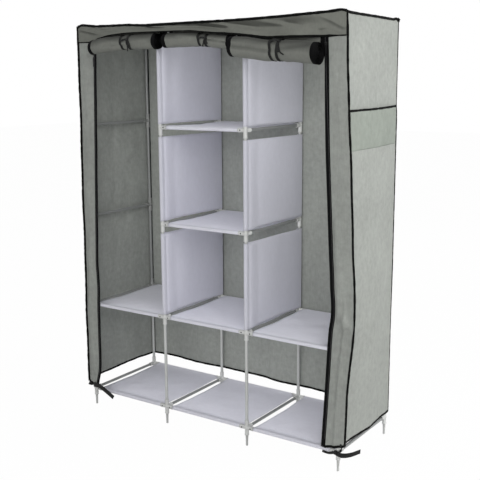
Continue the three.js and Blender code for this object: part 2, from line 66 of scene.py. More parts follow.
# Driving dimensions of the frame
COLUMN_PITCH = 430.0
FRAME_DEPTH = 425.0
FOOT_HEIGHT = 80.0
LEVEL_PITCH = 413.0
LEVEL_COUNT = 5
TUBE_RADIUS = 6.5
SOCKET_REACH = 32.0
SOCKET_FLOOR = 12.0
FOOT_TOP_RADIUS = 6.2
FOOT_TIP_RADIUS = 4.5

# Cloth
CLOTH = 0.7
LINING = 0.9
BINDING_WIDTH = 10.0
BINDING_DEPTH = 3.6

# Shelves and dividers
SLEEVE_RADIUS = 7.4
SLEEVE_END_GAP = 3.0
SHELF_LIFT = 6.4
SHELF_SAG = 4.0
SHELF_LEFT_GAP = 24.0
BOTTOM_SHELF_LEFT_GAP = 38.0
SHELF_RIGHT_GAP = 10.5
DIVIDER_TIP = 10.4
DIVIDER_SLEEVE_DEPTH = 110.0
DIVIDER_FOOT_GAP = 14.0
DIVIDER_HEAD_GAP = 40.0
DIVIDER_BOW = 3.0

# Cover: half sizes, hems, zips and the way the loose cloth bellies out
COVER_X = 657.0
COVER_Y = 224.5
WALL_TOP = 1742.5
FRONT_HEM_OUTER = 112.0
FRONT_HEM_INNER = 90.0
LEFT_HEM_FRONT = 117.0
LEFT_HEM_BACK = 131.0
RIGHT_HEM_FRONT = 125.0
RIGHT_HEM_BACK = 104.0
BACK_HEM_WAVE = 2.5
LEFT_ZIP_INSET = 94.0
LEFT_ZIP_DRIFT = 57.0
RIGHT_ZIP_INSET = 89.0
LEFT_FLARE = 20.0
RIGHT_BELLY = 51.0
RIGHT_BELLY_HEIGHT = 750.0
RIGHT_BELLY_FOOT = 13.0
RIGHT_BELLY_ROUND = 70.0
RIGHT_PACKING_RIDGE = 10.0
LEFT_PACKING_RIDGE = 16.0
BACK_FOLD = 6.0
ROOF_SAG = 2.5

# Roof edges, which the corner hubs and the piping lift here and there: (place, height)
ROOF_FRONT_EDGE = [(-657, 1742), (-640, 1752), (-619, 1751), (-555, 1744), (-458, 1743), (-372, 1743),
                   (-250, 1736), (-193, 1736), (-113, 1737), (-17, 1738), (132, 1738), (273, 1740),
                   (418, 1744), (590, 1753), (640, 1758), (657, 1752)]
ROOF_RIGHT_EDGE = [(-224.5, 1752), (-205, 1749), (-125, 1747), (42, 1745), (170, 1742.5), (199, 1747),
                   (224.5, 1737)]
ROOF_PLAIN_HEIGHT = 1743.8
ROOF_OVERHANG = 18.0

# How far the zips, the right front seam and the right zip's tape stray sideways: (height, distance)
LEFT_ZIP_STRAY = [(60, -7), (99, -6), (124, -4), (160, 8.5), (213, 12), (286, 10), (392, 8), (484, 5.5),
                  (566, 8), (630, 4), (687, -1), (800, 0), (984, 0), (1210, 1.5), (1429, 2), (1742, 3)]
RIGHT_ZIP_STRAY = [(80, 8), (246, 8.5), (411, 8), (513, 7), (573, 7.7), (622, 13), (650, 12.3), (693, 8.8),
                   (731, 3), (840, 0), (1742, 0)]
RIGHT_EDGE_STRAY = [(80, 6), (200, 5.5), (322, 0.8), (397, 3.6), (471, 5.4), (536, 7.6), (604, 8.2),
                    (662, 6.4), (706, 3.0), (760, 0), (850, -1.5), (1600, -1.5), (1700, 0), (1742, 0)]
RIGHT_TAPE_SHIFT = [(80, 0), (1257, 0), (1439, 4), (1583, 9), (1742, 9)]

# Valance over the rolled doors
VALANCE_GAP = 0.4
VALANCE_DEPTH = 80.0
VALANCE_DRAPE = 46.0
VALANCE_HEM_LIFT = 2.4
VALANCE_FLAT_END = 70.0
VALANCE_SMOOTHING = 16.0
VALANCE_HEM_SHARES = [(0, 0.84), (0.067, 0.84), (0.08, 0.71), (0.166, 0.58), (0.243, 0.5), (0.407, 0.51),
                      (0.503, 0.53), (0.578, 0.66), (0.636, 0.74), (0.703, 0.86), (0.764, 0.99),
                      (0.926, 0.96), (1, 0.96)]

# Rolled doors: both ends' places, how far the right end droops, the radius at each end and the
# seed of the waver round the roll
ROLLS = {
    "left": {"from": -546.0, "to": -182.0, "droop": 0.0, "radii": (31.0, 32.0), "seed": 4},
    "centre": {"from": -146.0, "to": 180.0, "droop": 0.0, "radii": (30.0, 26.0), "seed": 6},
    "right": {"from": 190.0, "to": 569.0, "droop": 19.0, "radii": (41.0, 41.0), "seed": 5},
}
TIE_ALLOWANCE = 0.15
ROLL_BACK = -223.3
RIBBON_WIDTH = 11.5

# Pocket on the right wall
POCKET_MOUTH = 1402.0
POCKET_HEIGHT = 152.0
POCKET_INSET = 8.0
POCKET_GAPE = 6.0
POCKET_OFFSET = 1.9

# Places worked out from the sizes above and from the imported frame
HALF_DEPTH = FRAME_DEPTH / 2
POSTS = [(i - 1.5) * COLUMN_PITCH for i in range(4)]
LEVELS = [FOOT_HEIGHT + i * LEVEL_PITCH for i in range(LEVEL_COUNT)]
frame_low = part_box("side_frame_left")[0]
frame_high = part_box("side_frame_right")[1]
CENTRE = np.array([(frame_low.x + frame_high.x) / 2, (frame_low.y + frame_high.y) / 2, 0.0])


# Numbers to shapes

def mix(start, end, share):
    """The value that lies that share of the way from start to end."""
    return start + (end - start) * share


def eased(share):
    """A step from 0 to 1 with level ends: three squares less two cubes of the share."""
    held = np.clip(share, 0, 1)
    return held * held * (3 - 2 * held)


def wave(share, count):
    """That many humps from 0 up to 1 and back: half of one minus a cosine."""
    return 0.5 - 0.5 * np.cos(2 * np.pi * count * share)


def shares(rows, columns):
    """Two square arrays of shares from 0 to 1: the first grows by row, the second by column."""
    return np.meshgrid(np.linspace(0, 1, rows + 1), np.linspace(0, 1, columns + 1), indexing="ij")


def points(x, y, z):
    """One array of points from three arrays or numbers."""
    return np.stack(np.broadcast_arrays(x, y, z), axis=-1).astype(float)


def unit(vectors):
    """Each vector divided by its length."""
    return vectors / np.maximum(np.linalg.norm(vectors, axis=-1, keepdims=True), 1e-9)


def smooth_line(pairs, blur):
    """A function through (place, value) pairs: straight runs, averaged over a window of that width."""
    places, values = np.array(pairs, float).T
    offsets = np.linspace(-blur / 2, blur / 2, 9)

    def at(place):
        near = np.asarray(place, float)[..., None] + offsets
        return np.interp(near, places, values).mean(axis=-1)
    return at


def crease(u, v, start, end, width, height):
    """A ridge along a line: its height times e to the minus square of distance over width. It fades
    away over a quarter of its length past each end."""
    start, end = np.array(start, float), np.array(end, float)
    run = end - start
    length = np.hypot(*run)
    along = ((u - start[0]) * run[0] + (v - start[1]) * run[1]) / length ** 2
    across = ((u - start[0]) * run[1] - (v - start[1]) * run[0]) / length
    fade = eased(4 * along + 1) * eased(4 * (1 - along) + 1)
    return height * np.exp(-(across / width) ** 2) * fade


def creases(u, v, folds):
    """The sum of a table of creases: start, end, width and height of each."""
    return sum(crease(u, v, *fold) for fold in folds)


RUMPLE_WAVES = 12


def rumple(u, v, seed, height, short, long, upright):
    """Loose cloth: the sum of twelve sine waves of seeded length, phase and direction, over the root
    of twelve. With upright near 1 their crests stand along v, and with 0 they run every way."""
    draw = np.random.default_rng(seed)
    total = np.zeros(np.broadcast(u, v).shape)
    for _ in range(RUMPLE_WAVES):
        length = draw.uniform(short, long)
        lean = draw.normal(0, 1) * (1 - upright) * np.pi / 2
        phase = draw.uniform(0, 2 * np.pi)
        total = total + np.sin(2 * np.pi * (u * np.cos(lean) + v * np.sin(lean)) / length + phase)
    return height * total / math.sqrt(RUMPLE_WAVES)


def ovals(width, depth, count, power):
    """A closed ring of points for each width and depth: half the cosine and half the sine times
    them, both raised to a power. A power of 1 gives an ellipse, and less is nearer to a rectangle."""
    angle = np.linspace(0, 2 * np.pi, count + 1)
    ring = np.stack([np.cos(angle), np.sin(angle)], axis=-1)
    sizes = np.stack(np.broadcast_arrays(width, depth), axis=-1)[..., None, :]
    return 0.5 * np.sign(ring) * np.abs(ring) ** power * sizes


def sweep(path, section, side):
    """A section carried along a path: its first coordinate lies along side, its second along the
    direction of travel crossed with side. Each end is drawn in to a point on the path."""
    path = np.asarray(path, float)
    ahead = unit(np.gradient(path, axis=0))
    side = np.broadcast_to(np.asarray(side, float), path.shape)
    side = unit(side - ahead * (side * ahead).sum(axis=-1, keepdims=True))
    up = np.cross(ahead, side)
    section = np.broadcast_to(section, (len(path),) + section.shape[-2:])
    rings = path[:, None] + section[..., 0:1] * side[:, None] + section[..., 1:2] * up[:, None]
    ends = [np.broadcast_to(path[end], (1,) + rings.shape[1:]) for end in (0, -1)]
    return np.concatenate([ends[0], rings, ends[1]])


def curve_through(places, count=40):
    """A smooth path through a few places, by cubic pieces whose slope at each is set by its
    neighbours."""
    places = np.asarray(places, float)
    slopes = np.gradient(places, axis=0)
    share = np.linspace(0, len(places) - 1, count)
    piece = np.minimum(share.astype(int), len(places) - 2)
    u = (share - piece)[:, None]
    start, end = places[piece], places[piece + 1]
    leave, arrive = slopes[piece], slopes[piece + 1]
    return ((2 * u ** 3 - 3 * u ** 2 + 1) * start + (u ** 3 - 2 * u ** 2 + u) * leave
            + (3 * u ** 2 - 2 * u ** 3) * end + (u ** 3 - u ** 2) * arrive)


def lathe(base, axis, profile, sides=24):
    """(radius, height) pairs turned about an axis through base."""
    axis = unit(np.asarray(axis, float))
    helper = np.array([0.0, 0, 1]) if abs(axis[2]) < 0.9 else np.array([1.0, 0, 0])
    right = unit(np.cross(helper, axis))
    front = np.cross(axis, right)
    angle = np.linspace(0, 2 * np.pi, sides + 1)[:, None, None]
    radius, height = np.array(profile, float).T
    turned = np.cos(angle) * right + np.sin(angle) * front
    return np.asarray(base, float) + radius[None, :, None] * turned + height[None, :, None] * axis


def arc_lengths(grid, axis):
    """How far each row or column of a grid of points lies from the first along the grid, in metres."""
    steps = np.linalg.norm(np.diff(grid, axis=axis), axis=-1).mean(axis=1 - axis)
    return np.concatenate([[0], np.cumsum(steps)]) * MM


PATH_STEP = 5.0
FEWEST_STEPS = 8


def in_short_steps(path):
    """A path cut again into short equal steps, and how far along it each one lies."""
    path = np.asarray(path, float)
    along = np.concatenate([[0], np.cumsum(np.linalg.norm(np.diff(path, axis=0), axis=1))])
    fine = np.linspace(0, along[-1], max(int(along[-1] / PATH_STEP), FEWEST_STEPS))
    return np.stack([np.interp(fine, along, path[:, axis]) for axis in range(3)], axis=-1), fine


# Meshes

WELD_DISTANCE = 2e-6


def patch_faces(rows, columns, start):
    """The four-sided faces of a grid of points numbered row by row from start."""
    first = start + np.arange(rows - 1)[:, None] * columns + np.arange(columns - 1)[None]
    return np.stack([first, first + columns, first + columns + 1, first + 1], axis=-1).reshape(-1, 4)


def build(name, patches, materials, thickness=0.0, replaces=(), sharp=40.0):
    """One piece from grids of points in millimetres. A patch is a grid, or a grid with the number
    of its material or an array of one number for each face. Borders that meet are joined, and the
    UV map measures each patch along its rows and columns, in metres."""
    grids, faces, numbers, maps, start = [], [], [], [], 0
    for patch in patches:
        grid, number = patch if isinstance(patch, tuple) else (patch, 0)
        rows, columns = grid.shape[:2]
        own = patch_faces(rows, columns, start)
        grids.append(grid.reshape(-1, 3))
        faces.append(own)
        numbers.append(np.broadcast_to(number, (rows - 1, columns - 1)).reshape(-1))
        along, across = np.meshgrid(arc_lengths(grid, 0), arc_lengths(grid, 1), indexing="ij")
        maps.append(np.stack([along, across], axis=-1).reshape(-1, 2))
        start += rows * columns
    places = np.concatenate(grids) * MM + CENTRE
    faces = np.concatenate(faces)
    mesh = bpy.data.meshes.new(name)
    mesh.vertices.add(len(places))
    mesh.vertices.foreach_set("co", places.astype(np.float32).ravel())
    mesh.loops.add(faces.size)
    mesh.loops.foreach_set("vertex_index", faces.astype(np.int32).ravel())
    mesh.polygons.add(len(faces))
    mesh.polygons.foreach_set("loop_start", np.arange(0, faces.size, 4, dtype=np.int32))
    mesh.polygons.foreach_set("material_index", np.concatenate(numbers).astype(np.int32))
    mesh.update(calc_edges=True)
    uv = mesh.uv_layers.new(name="UVMap")
    uv.data.foreach_set("uv", np.concatenate(maps)[faces.ravel()].astype(np.float32).ravel())
    shaped = bmesh.new()
    shaped.from_mesh(mesh)
    bmesh.ops.remove_doubles(shaped, verts=shaped.verts, dist=WELD_DISTANCE)
    bmesh.ops.recalc_face_normals(shaped, faces=shaped.faces)
    shaped.to_mesh(mesh)
    shaped.free()
    mesh.shade_smooth()
    mesh.set_sharp_from_angle(angle=math.radians(sharp))
    for material in materials:
        mesh.materials.append(material)
    piece = bpy.data.objects.new(name, mesh)
    bpy.context.scene.collection.objects.link(piece)
    if thickness:
        wall = piece.modifiers.new("cloth_wall", "SOLIDIFY")
        wall.thickness = thickness * MM
        wall.offset = 0.0
    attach(piece, BODY)
    if replaces:
        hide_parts(*replaces)
    return piece


# Materials

MID_GREY = (0.5, 0.5, 0.5, 1)


def feed(tree, target, inputs):
    """Gives a shader node its inputs: each is a plain value, or the socket that feeds it."""
    for key, value in inputs.items():
        if isinstance(value, bpy.types.NodeSocket):
            tree.links.new(value, target.inputs[key])
        else:
            target.inputs[key].default_value = value


def node(tree, kind, inputs=None, **settings):
    """One shader node with its settings and its inputs."""
    made = tree.nodes.new(kind)
    for key, value in settings.items():
        setattr(made, key, value)
    feed(tree, made, inputs or {})
    return made


def maths(tree, operation, *inputs, **settings):
    """What one sum on numbers gives."""
    numbered = dict(enumerate(inputs))
    return node(tree, "ShaderNodeMath", numbered, operation=operation, **settings).outputs[0]


def noise(tree, place, scale, detail, roughness=0.5):
    """A cloudy value that changes from place to place."""
    inputs = {"Vector": place, "Scale": scale, "Detail": detail, "Roughness": roughness}
    return node(tree, "ShaderNodeTexNoise", inputs).outputs["Fac"]


def tinted(tree, tone, light):
    """A colour times a factor."""
    return node(tree, "ShaderNodeVectorMath", {0: tone, 1: light}, operation="MULTIPLY").outputs[0]


def colour(red, green, blue):
    """A colour given as it is seen, 0 to 255, as the linear value that shaders take."""
    seen = np.array([red, green, blue]) / 255
    linear = np.where(seen <= 0.04045, seen / 12.92, ((seen + 0.055) / 1.055) ** 2.4)
    return (*linear.tolist(), 1.0)


def socket_kind(label):
    """A socket called Colour holds a colour, and any other a number."""
    return "NodeSocketColor" if label == "Colour" else "NodeSocketFloat"


def new_group(name, inputs, outputs):
    """An empty shader node group and its inputs."""
    tree = bpy.data.node_groups.new(name, "ShaderNodeTree")
    for label, value in inputs.items():
        socket = tree.interface.new_socket(name=label, in_out="INPUT", socket_type=socket_kind(label))
        socket.default_value = value
    for label in outputs:
        tree.interface.new_socket(name=label, in_out="OUTPUT", socket_type=socket_kind(label))
    return tree, node(tree, "NodeGroupInput").outputs


def nonwoven_group():
    """Pressed fibre cloth: cloudy patches, faint drawn fibres and a grid of small pressed dots. The
    clouds and fibres lie in the piece's own space, the dots on its UV map."""
    tree, given = new_group("nonwoven_cloth", {
        "Colour": MID_GREY, "Clouds": 0.12, "Cloud Scale": 45.0, "Fibres": 0.08,
        "Dots per Metre": 450.0, "Dirt": 0.05}, ("Colour", "Roughness", "Height"))
    place = node(tree, "ShaderNodeTexCoord").outputs
    drawn = node(tree, "ShaderNodeMapping", {"Vector": place["Object"], "Scale": (260.0, 260.0, 22.0)})
    clouds = noise(tree, place["Object"], given["Cloud Scale"], 3.0, 0.62)
    fibres = noise(tree, drawn.outputs["Vector"], 1.0, 2.0)
    dirt = noise(tree, place["Object"], 4.5, 1.0)
    half_light = 0.5
    for source, amount in ((clouds, "Clouds"), (fibres, "Fibres"), (dirt, "Dirt")):
        centred = maths(tree, "SUBTRACT", source, 0.5)
        half_light = maths(tree, "MULTIPLY_ADD", centred, given[amount], half_light)
    dots = node(tree, "ShaderNodeTexVoronoi",
                {"Vector": place["UV"], "Scale": given["Dots per Metre"], "Randomness": 0.12})
    pressed = node(tree, "ShaderNodeMapRange",
                   {"Value": dots.outputs["Distance"], "From Min": 0.12, "From Max": 0.36},
                   interpolation_type="SMOOTHSTEP").outputs["Result"]
    node(tree, "NodeGroupOutput", {
        "Colour": tinted(tree, given["Colour"], maths(tree, "MULTIPLY", half_light, 2.0)),
        "Roughness": maths(tree, "MULTIPLY_ADD", clouds, 0.25, 0.78),
        "Height": maths(tree, "MULTIPLY_ADD", fibres, 0.6, pressed)})
    return tree


def ribbed_group():
    """Woven tape: fine ribs across its length, broken up by a fine grain."""
    tree, given = new_group("woven_tape", {
        "Colour": MID_GREY, "Ribs per Metre": 700.0, "Contrast": 0.5}, ("Colour", "Height"))
    place = node(tree, "ShaderNodeTexCoord").outputs
    ribs = node(tree, "ShaderNodeTexWave",
                {"Vector": place["UV"], "Scale": given["Ribs per Metre"], "Distortion": 0.6, "Detail": 1.0},
                bands_direction="X")
    both = maths(tree, "MULTIPLY", ribs.outputs["Fac"], noise(tree, place["Object"], 350.0, 2.0))
    light = maths(tree, "MULTIPLY_ADD", both, given["Contrast"], 0.8)
    node(tree, "NodeGroupOutput", {"Colour": tinted(tree, given["Colour"], light), "Height": both})
    return tree


def worn_group():
    """Paint, enamel or moulded plastic: soft mottling in its colour and gloss, and a fine grain."""
    tree, given = new_group("worn_finish", {
        "Colour": MID_GREY, "Mottle": 0.1, "Grain Scale": 300.0, "Gloss Low": 0.3,
        "Gloss High": 0.45}, ("Colour", "Roughness", "Height"))
    place = node(tree, "ShaderNodeTexCoord").outputs
    mottle = noise(tree, place["Object"], 30.0, 3.0)
    light = maths(tree, "MULTIPLY_ADD", maths(tree, "SUBTRACT", mottle, 0.5), given["Mottle"], 1.0)
    gloss = node(tree, "ShaderNodeMapRange",
                 {"Value": mottle, "To Min": given["Gloss Low"], "To Max": given["Gloss High"]})
    node(tree, "NodeGroupOutput", {
        "Colour": tinted(tree, given["Colour"], light),
        "Roughness": gloss.outputs["Result"],
        "Height": noise(tree, place["Object"], given["Grain Scale"], 2.0)})
    return tree


NONWOVEN = nonwoven_group()
WOVEN_TAPE = ribbed_group()
WORN_FINISH = worn_group()


def dressed(name, group, look, bump, relief, roughness=0.9, **sockets):
    """A material that takes its colour and relief, and its roughness where the group gives one, from
    a shared effect with this material's own values."""
    material = bpy.data.materials.new(name)
    material.use_nodes = True
    tree = material.node_tree
    shader = tree.nodes["Principled BSDF"]
    effect = node(tree, "ShaderNodeGroup", look, node_tree=group).outputs
    raised = node(tree, "ShaderNodeBump", {"Strength": bump, "Distance": relief, "Height": effect["Height"]})
    feed(tree, shader, {"Base Color": effect["Colour"], "Roughness": roughness,
                        "Normal": raised.outputs["Normal"]})
    feed(tree, shader, {socket.replace("_", " "): value for socket, value in sockets.items()})
    if "Roughness" in effect:
        feed(tree, shader, {"Roughness": effect["Roughness"]})
    return material


def pressed_cloth(name, tone, clouds, fibres, dirt, bump=0.25, relief=0.0006, **sockets):
    """Pressed fibre cloth of one tone."""
    look = {"Colour": colour(*tone), "Clouds": clouds, "Fibres": fibres, "Dirt": dirt}
    return dressed(name, NONWOVEN, look, bump, relief, **sockets)


def woven_band(name, tone, roughness, specular, ribs=700.0, bump=0.4, relief=0.0004):
    """Ribbon, binding or zip tape of one tone."""
    look = {"Colour": colour(*tone), "Ribs per Metre": ribs}
    return dressed(name, WOVEN_TAPE, look, bump, relief, roughness, Specular_IOR_Level=specular)


def hard_finish(name, tone, gloss_low, gloss_high, bump, metallic=0.0):
    """Paint, enamel or plastic of one tone, whose roughness wanders between two values."""
    look = {"Colour": colour(*tone), "Gloss Low": gloss_low, "Gloss High": gloss_high}
    return dressed(name, WORN_FINISH, look, bump, 0.0002, Metallic=metallic)


def shaded_facing(material, share, low, high):
    """Darkens a material to that share of its colour as its normal's height goes from low to high:
    the shade under the valance's hem and under the roof's edge."""
    tree = material.node_tree
    shader = tree.nodes["Principled BSDF"]
    tone = shader.inputs["Base Color"].links[0].from_socket
    normal = node(tree, "ShaderNodeNewGeometry").outputs["Normal"]
    facing = node(tree, "ShaderNodeSeparateXYZ", {0: normal}).outputs["Z"]
    light = node(tree, "ShaderNodeMapRange",
                 {"Value": facing, "From Min": low, "From Max": high, "To Min": 1.0, "To Max": share})
    scaled = node(tree, "ShaderNodeVectorMath", {0: tone, "Scale": light.outputs["Result"]},
                  operation="SCALE")
    feed(tree, shader, {"Base Color": scaled.outputs[0]})


COVER = pressed_cloth("grey_nonwoven", (145, 148, 143), 0.26, 0.12, 0.14, Sheen_Weight=0.05)
# Painted shade: the cover's own cloth made darker for the rolled doors, which lie in the valance's shade
SHADED_ROLL_CLOTH = pressed_cloth("grey_nonwoven_roll_painted_shade", (115, 117, 111), 0.2, 0.1, 0.16)
# Painted shade: the cover's own cloth made darker for the valance
SHADED_VALANCE_CLOTH = pressed_cloth("grey_nonwoven_valance_painted_shade", (115, 117, 110), 0.2, 0.1, 0.22)
shaded_facing(SHADED_ROLL_CLOTH, 0.3, -0.15, 0.75)
shaded_facing(SHADED_VALANCE_CLOTH, 0.42, -0.02, -0.3)
POCKET = pressed_cloth("grey_nonwoven_pocket", (134, 140, 132), 0.2, 0.1, 0.1)
WHITE = pressed_cloth("white_nonwoven", (222, 222, 231), 0.05, 0.04, 0.03, 0.2, 0.0005)
# Painted shade: the shelves' white cloth made darker for the dividers
SHADED_WHITE_PANEL = pressed_cloth("white_nonwoven_panel_painted_shade", (204, 204, 214), 0.05, 0.04, 0.03, 0.2, 0.0005)
BINDING = woven_band("black_binding", (7, 8, 7), 0.8, 0.08)
RIBBON = woven_band("black_ribbon_weave", (14, 15, 14), 0.7, 0.25)
TAPE = woven_band("black_zip_tape", (6, 6, 7), 0.8, 0.08, 900.0, 0.3, 0.0003)
TEETH = hard_finish("black_zip_teeth", (17, 17, 19), 0.4, 0.52, 0.1)
ENAMEL = hard_finish("black_enamel", (30, 30, 31), 0.2, 0.36, 0.1, 0.3)
PAINT = hard_finish("grey_tube_paint", (190, 192, 190), 0.28, 0.42, 0.06, 0.15)
# Painted shade: the tubes' own grey paint made darker, for the depth tubes and the left back post
TUBE_PAINTED_SHADE = hard_finish("tube_paint_painted_shade", (140, 142, 141), 0.3, 0.45, 0.06, 0.2)
PLASTIC = hard_finish("white_moulded_plastic", (205, 206, 204), 0.34, 0.5, 0.08)
# Painted shade: the connectors' own white plastic made darker, for the left back post's connectors
SHADED_PLASTIC = hard_finish("moulded_plastic_painted_shade", (142, 143, 141), 0.4, 0.55, 0.08)
FOOT_PLASTIC = hard_finish("foot_moulded_plastic", (184, 185, 183), 0.4, 0.55, 0.08)
# Painted shade: a near-black disc in place of the shade inside each connector hole
HOLE_SHADE = hard_finish("socket_hole_painted_shade", (36, 37, 38), 0.3, 0.45, 0.05)


# Camera, light and floor: angles in degrees, places and sizes in metres

CAMERA_AZIMUTH = 34.277
CAMERA_ELEVATION = 10.811
CAMERA_ROLL = -0.372
CAMERA_DISTANCE = 3.6884
CAMERA_TARGET = (0.04114, 0.0, 0.82865)
CAMERA_LENS = 63.626
SENSOR_WIDTH = 36.0
LAMP_AIM = (0.0, 0.0, 0.87)
# Azimuth, elevation, distance, size and power of each softbox
SOFTBOXES = {
    "front_softbox": (15.0, 14.0, 5.2, 2.6, 80.0),
    "slanting_softbox": (44.0, 34.0, 5.0, 2.6, 64.0),
    "side_softbox": (100.0, 25.0, 4.6, 2.2, 144.0),
    "back_softbox": (205.0, 26.0, 5.2, 2.6, 55.0),
}
# Place from the middle of the frame, turn, width and height, and power of each glow
GLOWS = {
    "opening_glow": ((0.0, -0.2065, 0.88), (90.0, 0.0, 0.0), (1.1, 1.56), 3.4),
    "roof_glow": ((0.0, 0.0, 1.69), (0.0, 0.0, 0.0), (1.2, 0.38), 0.45),
    "right_wall_glow": ((0.62, 0.0, 1.4), (0.0, 90.0, 0.0), (0.5, 0.38), 0.38),
}
WORLD_LIGHT = 0.2
FLOOR_SIZE = 40.0
FLOOR_GLOW = 0.985


def direction(azimuth, elevation):
    """The unit vector from the wardrobe towards a viewer at that azimuth and elevation."""
    a, e = math.radians(azimuth), math.radians(elevation)
    return Vector((math.sin(a) * math.cos(e), -math.cos(a) * math.cos(e), math.sin(e)))


def make_camera():
    """A camera turned and raised round its target, and tilted a little about its own view."""
    azimuth, roll = math.radians(CAMERA_AZIMUTH), math.radians(CAMERA_ROLL)
    back = direction(CAMERA_AZIMUTH, CAMERA_ELEVATION)
    level = Vector((math.cos(azimuth), math.sin(azimuth), 0))
    right = math.cos(roll) * level + math.sin(roll) * back.cross(level)
    up = back.cross(right)
    place = Vector(CAMERA_TARGET) + Vector(CENTRE) + back * CAMERA_DISTANCE
    camera = bpy.data.objects.new("photo_camera", bpy.data.cameras.new("photo_camera"))
    bpy.context.scene.collection.objects.link(camera)
    camera.matrix_world = Matrix.Translation(place) @ Matrix((right, up, back)).transposed().to_4x4()
    camera.data.sensor_width = SENSOR_WIDTH
    camera.data.lens = CAMERA_LENS
    bpy.context.scene.camera = camera


def area_lamp(name, place, size, power):
    """A flat lamp of that width and height."""
    lamp = bpy.data.objects.new(name, bpy.data.lights.new(name, "AREA"))
    lamp.data.shape = "RECTANGLE"
    lamp.data.size, lamp.data.size_y = size
    lamp.data.energy = power
    lamp.location = place
    bpy.context.scene.collection.objects.link(lamp)
    return lamp


def softbox(name, azimuth, elevation, distance, size, power):
    """A square lamp that faces the wardrobe from that side."""
    back = direction(azimuth, elevation)
    lamp = area_lamp(name, Vector(LAMP_AIM) + back * distance, (size, size), power)
    lamp.rotation_mode = "QUATERNION"
    lamp.rotation_quaternion = back.to_track_quat("Z", "Y")


def cloth_glow(name, place, turn, size, power):
    """A weak sheet of light in place of the light that comes through the thin cloth."""
    lamp = area_lamp(name, Vector(CENTRE) + Vector(place), size, power)
    lamp.rotation_euler = [math.radians(angle) for angle in turn]
    lamp.visible_camera = False
    lamp.visible_glossy = False


def seen_by_camera(tree):
    """1 for rays from the camera and for reflected and transmitted ones, else 0."""
    path = node(tree, "ShaderNodeLightPath").outputs
    seen = path["Is Camera Ray"]
    for label in ("Is Glossy Ray", "Is Transmission Ray"):
        seen = maths(tree, "ADD", seen, path[label], use_clamp=True)
    return seen


def make_world():
    """White where it is seen, and a weak even light elsewhere."""
    world = bpy.data.worlds.new("studio")
    bpy.context.scene.world = world
    world.use_nodes = True
    tree = world.node_tree
    tree.nodes.clear()
    lit, white = (node(tree, "ShaderNodeBackground", {"Color": (1, 1, 1, 1), "Strength": strength})
                  for strength in (WORLD_LIGHT, 1.0))
    both = node(tree, "ShaderNodeMixShader",
                {0: seen_by_camera(tree), 1: lit.outputs[0], 2: white.outputs[0]})
    node(tree, "ShaderNodeOutputWorld", {"Surface": both.outputs[0]})


def make_floor():
    """A pale floor: matt, and mixed with white light for rays that are seen, so that its far part
    meets the background and only a faint shadow stays."""
    low, half = frame_box[0].z, FLOOR_SIZE / 2
    mesh = bpy.data.meshes.new("studio_floor")
    mesh.from_pydata([(-half, -half, low), (half, -half, low), (half, half, low), (-half, half, low)], [],
                     [(0, 1, 2, 3)])
    floor = bpy.data.objects.new("studio_floor", mesh)
    bpy.context.scene.collection.objects.link(floor)
    material = bpy.data.materials.new("pale_floor")
    material.use_nodes = True
    tree = material.node_tree
    tree.nodes.clear()
    matt = node(tree, "ShaderNodeBsdfDiffuse", {"Color": (0.8, 0.8, 0.8, 1)})
    glow = node(tree, "ShaderNodeEmission", {"Color": (1, 1, 1, 1), "Strength": 1.0})
    share = maths(tree, "MULTIPLY", seen_by_camera(tree), FLOOR_GLOW)
    both = node(tree, "ShaderNodeMixShader", {0: share, 1: matt.outputs[0], 2: glow.outputs[0]})
    node(tree, "ShaderNodeOutputMaterial", {"Surface": both.outputs[0]})
    mesh.materials.append(material)


make_camera()
make_world()
make_floor()
for lamp_name, lamp_values in SOFTBOXES.items():
    softbox(lamp_name, *lamp_values)
for lamp_name, lamp_values in GLOWS.items():
    cloth_glow(lamp_name, *lamp_values)
bpy.context.scene.view_settings.view_transform = "Standard"


# Frame: tubes, connectors and feet

ROD_CHAMFER = 0.5
ARM_RADIUS = 8.7
ARM_PROFILE = [(0, 0), (8.4, 0), (8.4, 7), (ARM_RADIUS, 14), (8.8, 27), (9.4, 28), (9.5, 31.2),
               (9.1, SOCKET_REACH), (6.9, SOCKET_REACH), (6.6, 29), (0, 29)]
HUB_PROFILE = [(0, -9.6), (4, -9.5), (7, -8.7), (8.9, -6.6), (9.7, -3.2), (9.9, 0), (9.7, 3.2), (8.9, 6.6),
               (7, 8.7), (4, 9.5), (0, 9.6)]
BUTTON_PLACE = 21.0
BUTTON_PROFILE = [(0, 0.35), (2.2, 0.3), (3.0, 0), (3.1, -1.2), (0, -1.2)]
BUTTON_STAND = 0.05
TUBE_END_GAP = 0.3
FOOT_LENGTH = FOOT_HEIGHT - SOCKET_REACH + SOCKET_FLOOR
FOOT_PROFILE = [(0, 0), (FOOT_TIP_RADIUS - 0.5, 0), (FOOT_TIP_RADIUS + 0.3, 0.8),
                (FOOT_TIP_RADIUS + 0.5, 3), (FOOT_TIP_RADIUS + 0.1, 3.6), (5.0, 20), (5.7, 38),
                (FOOT_TOP_RADIUS, 44), (7.3, 46), (7.3, 49), (FOOT_TOP_RADIUS, 50),
                (FOOT_TOP_RADIUS, FOOT_LENGTH), (0, FOOT_LENGTH)]
SIDES = ("left", "middle_left", "middle_right", "right")
COLUMNS = ("left", "centre", "right")


def tube(name, start, end, replaces, paint=PAINT):
    """A painted tube between two points, with a small chamfer at each end."""
    start, end = np.array(start, float), np.array(end, float)
    length = np.linalg.norm(end - start)
    flat = TUBE_RADIUS - ROD_CHAMFER
    profile = [(0, 0), (flat, 0), (TUBE_RADIUS, ROD_CHAMFER), (TUBE_RADIUS, length - ROD_CHAMFER),
               (flat, length), (0, length)]
    build(name, [lathe(start, end - start, profile, 28)], [paint], replaces=replaces)


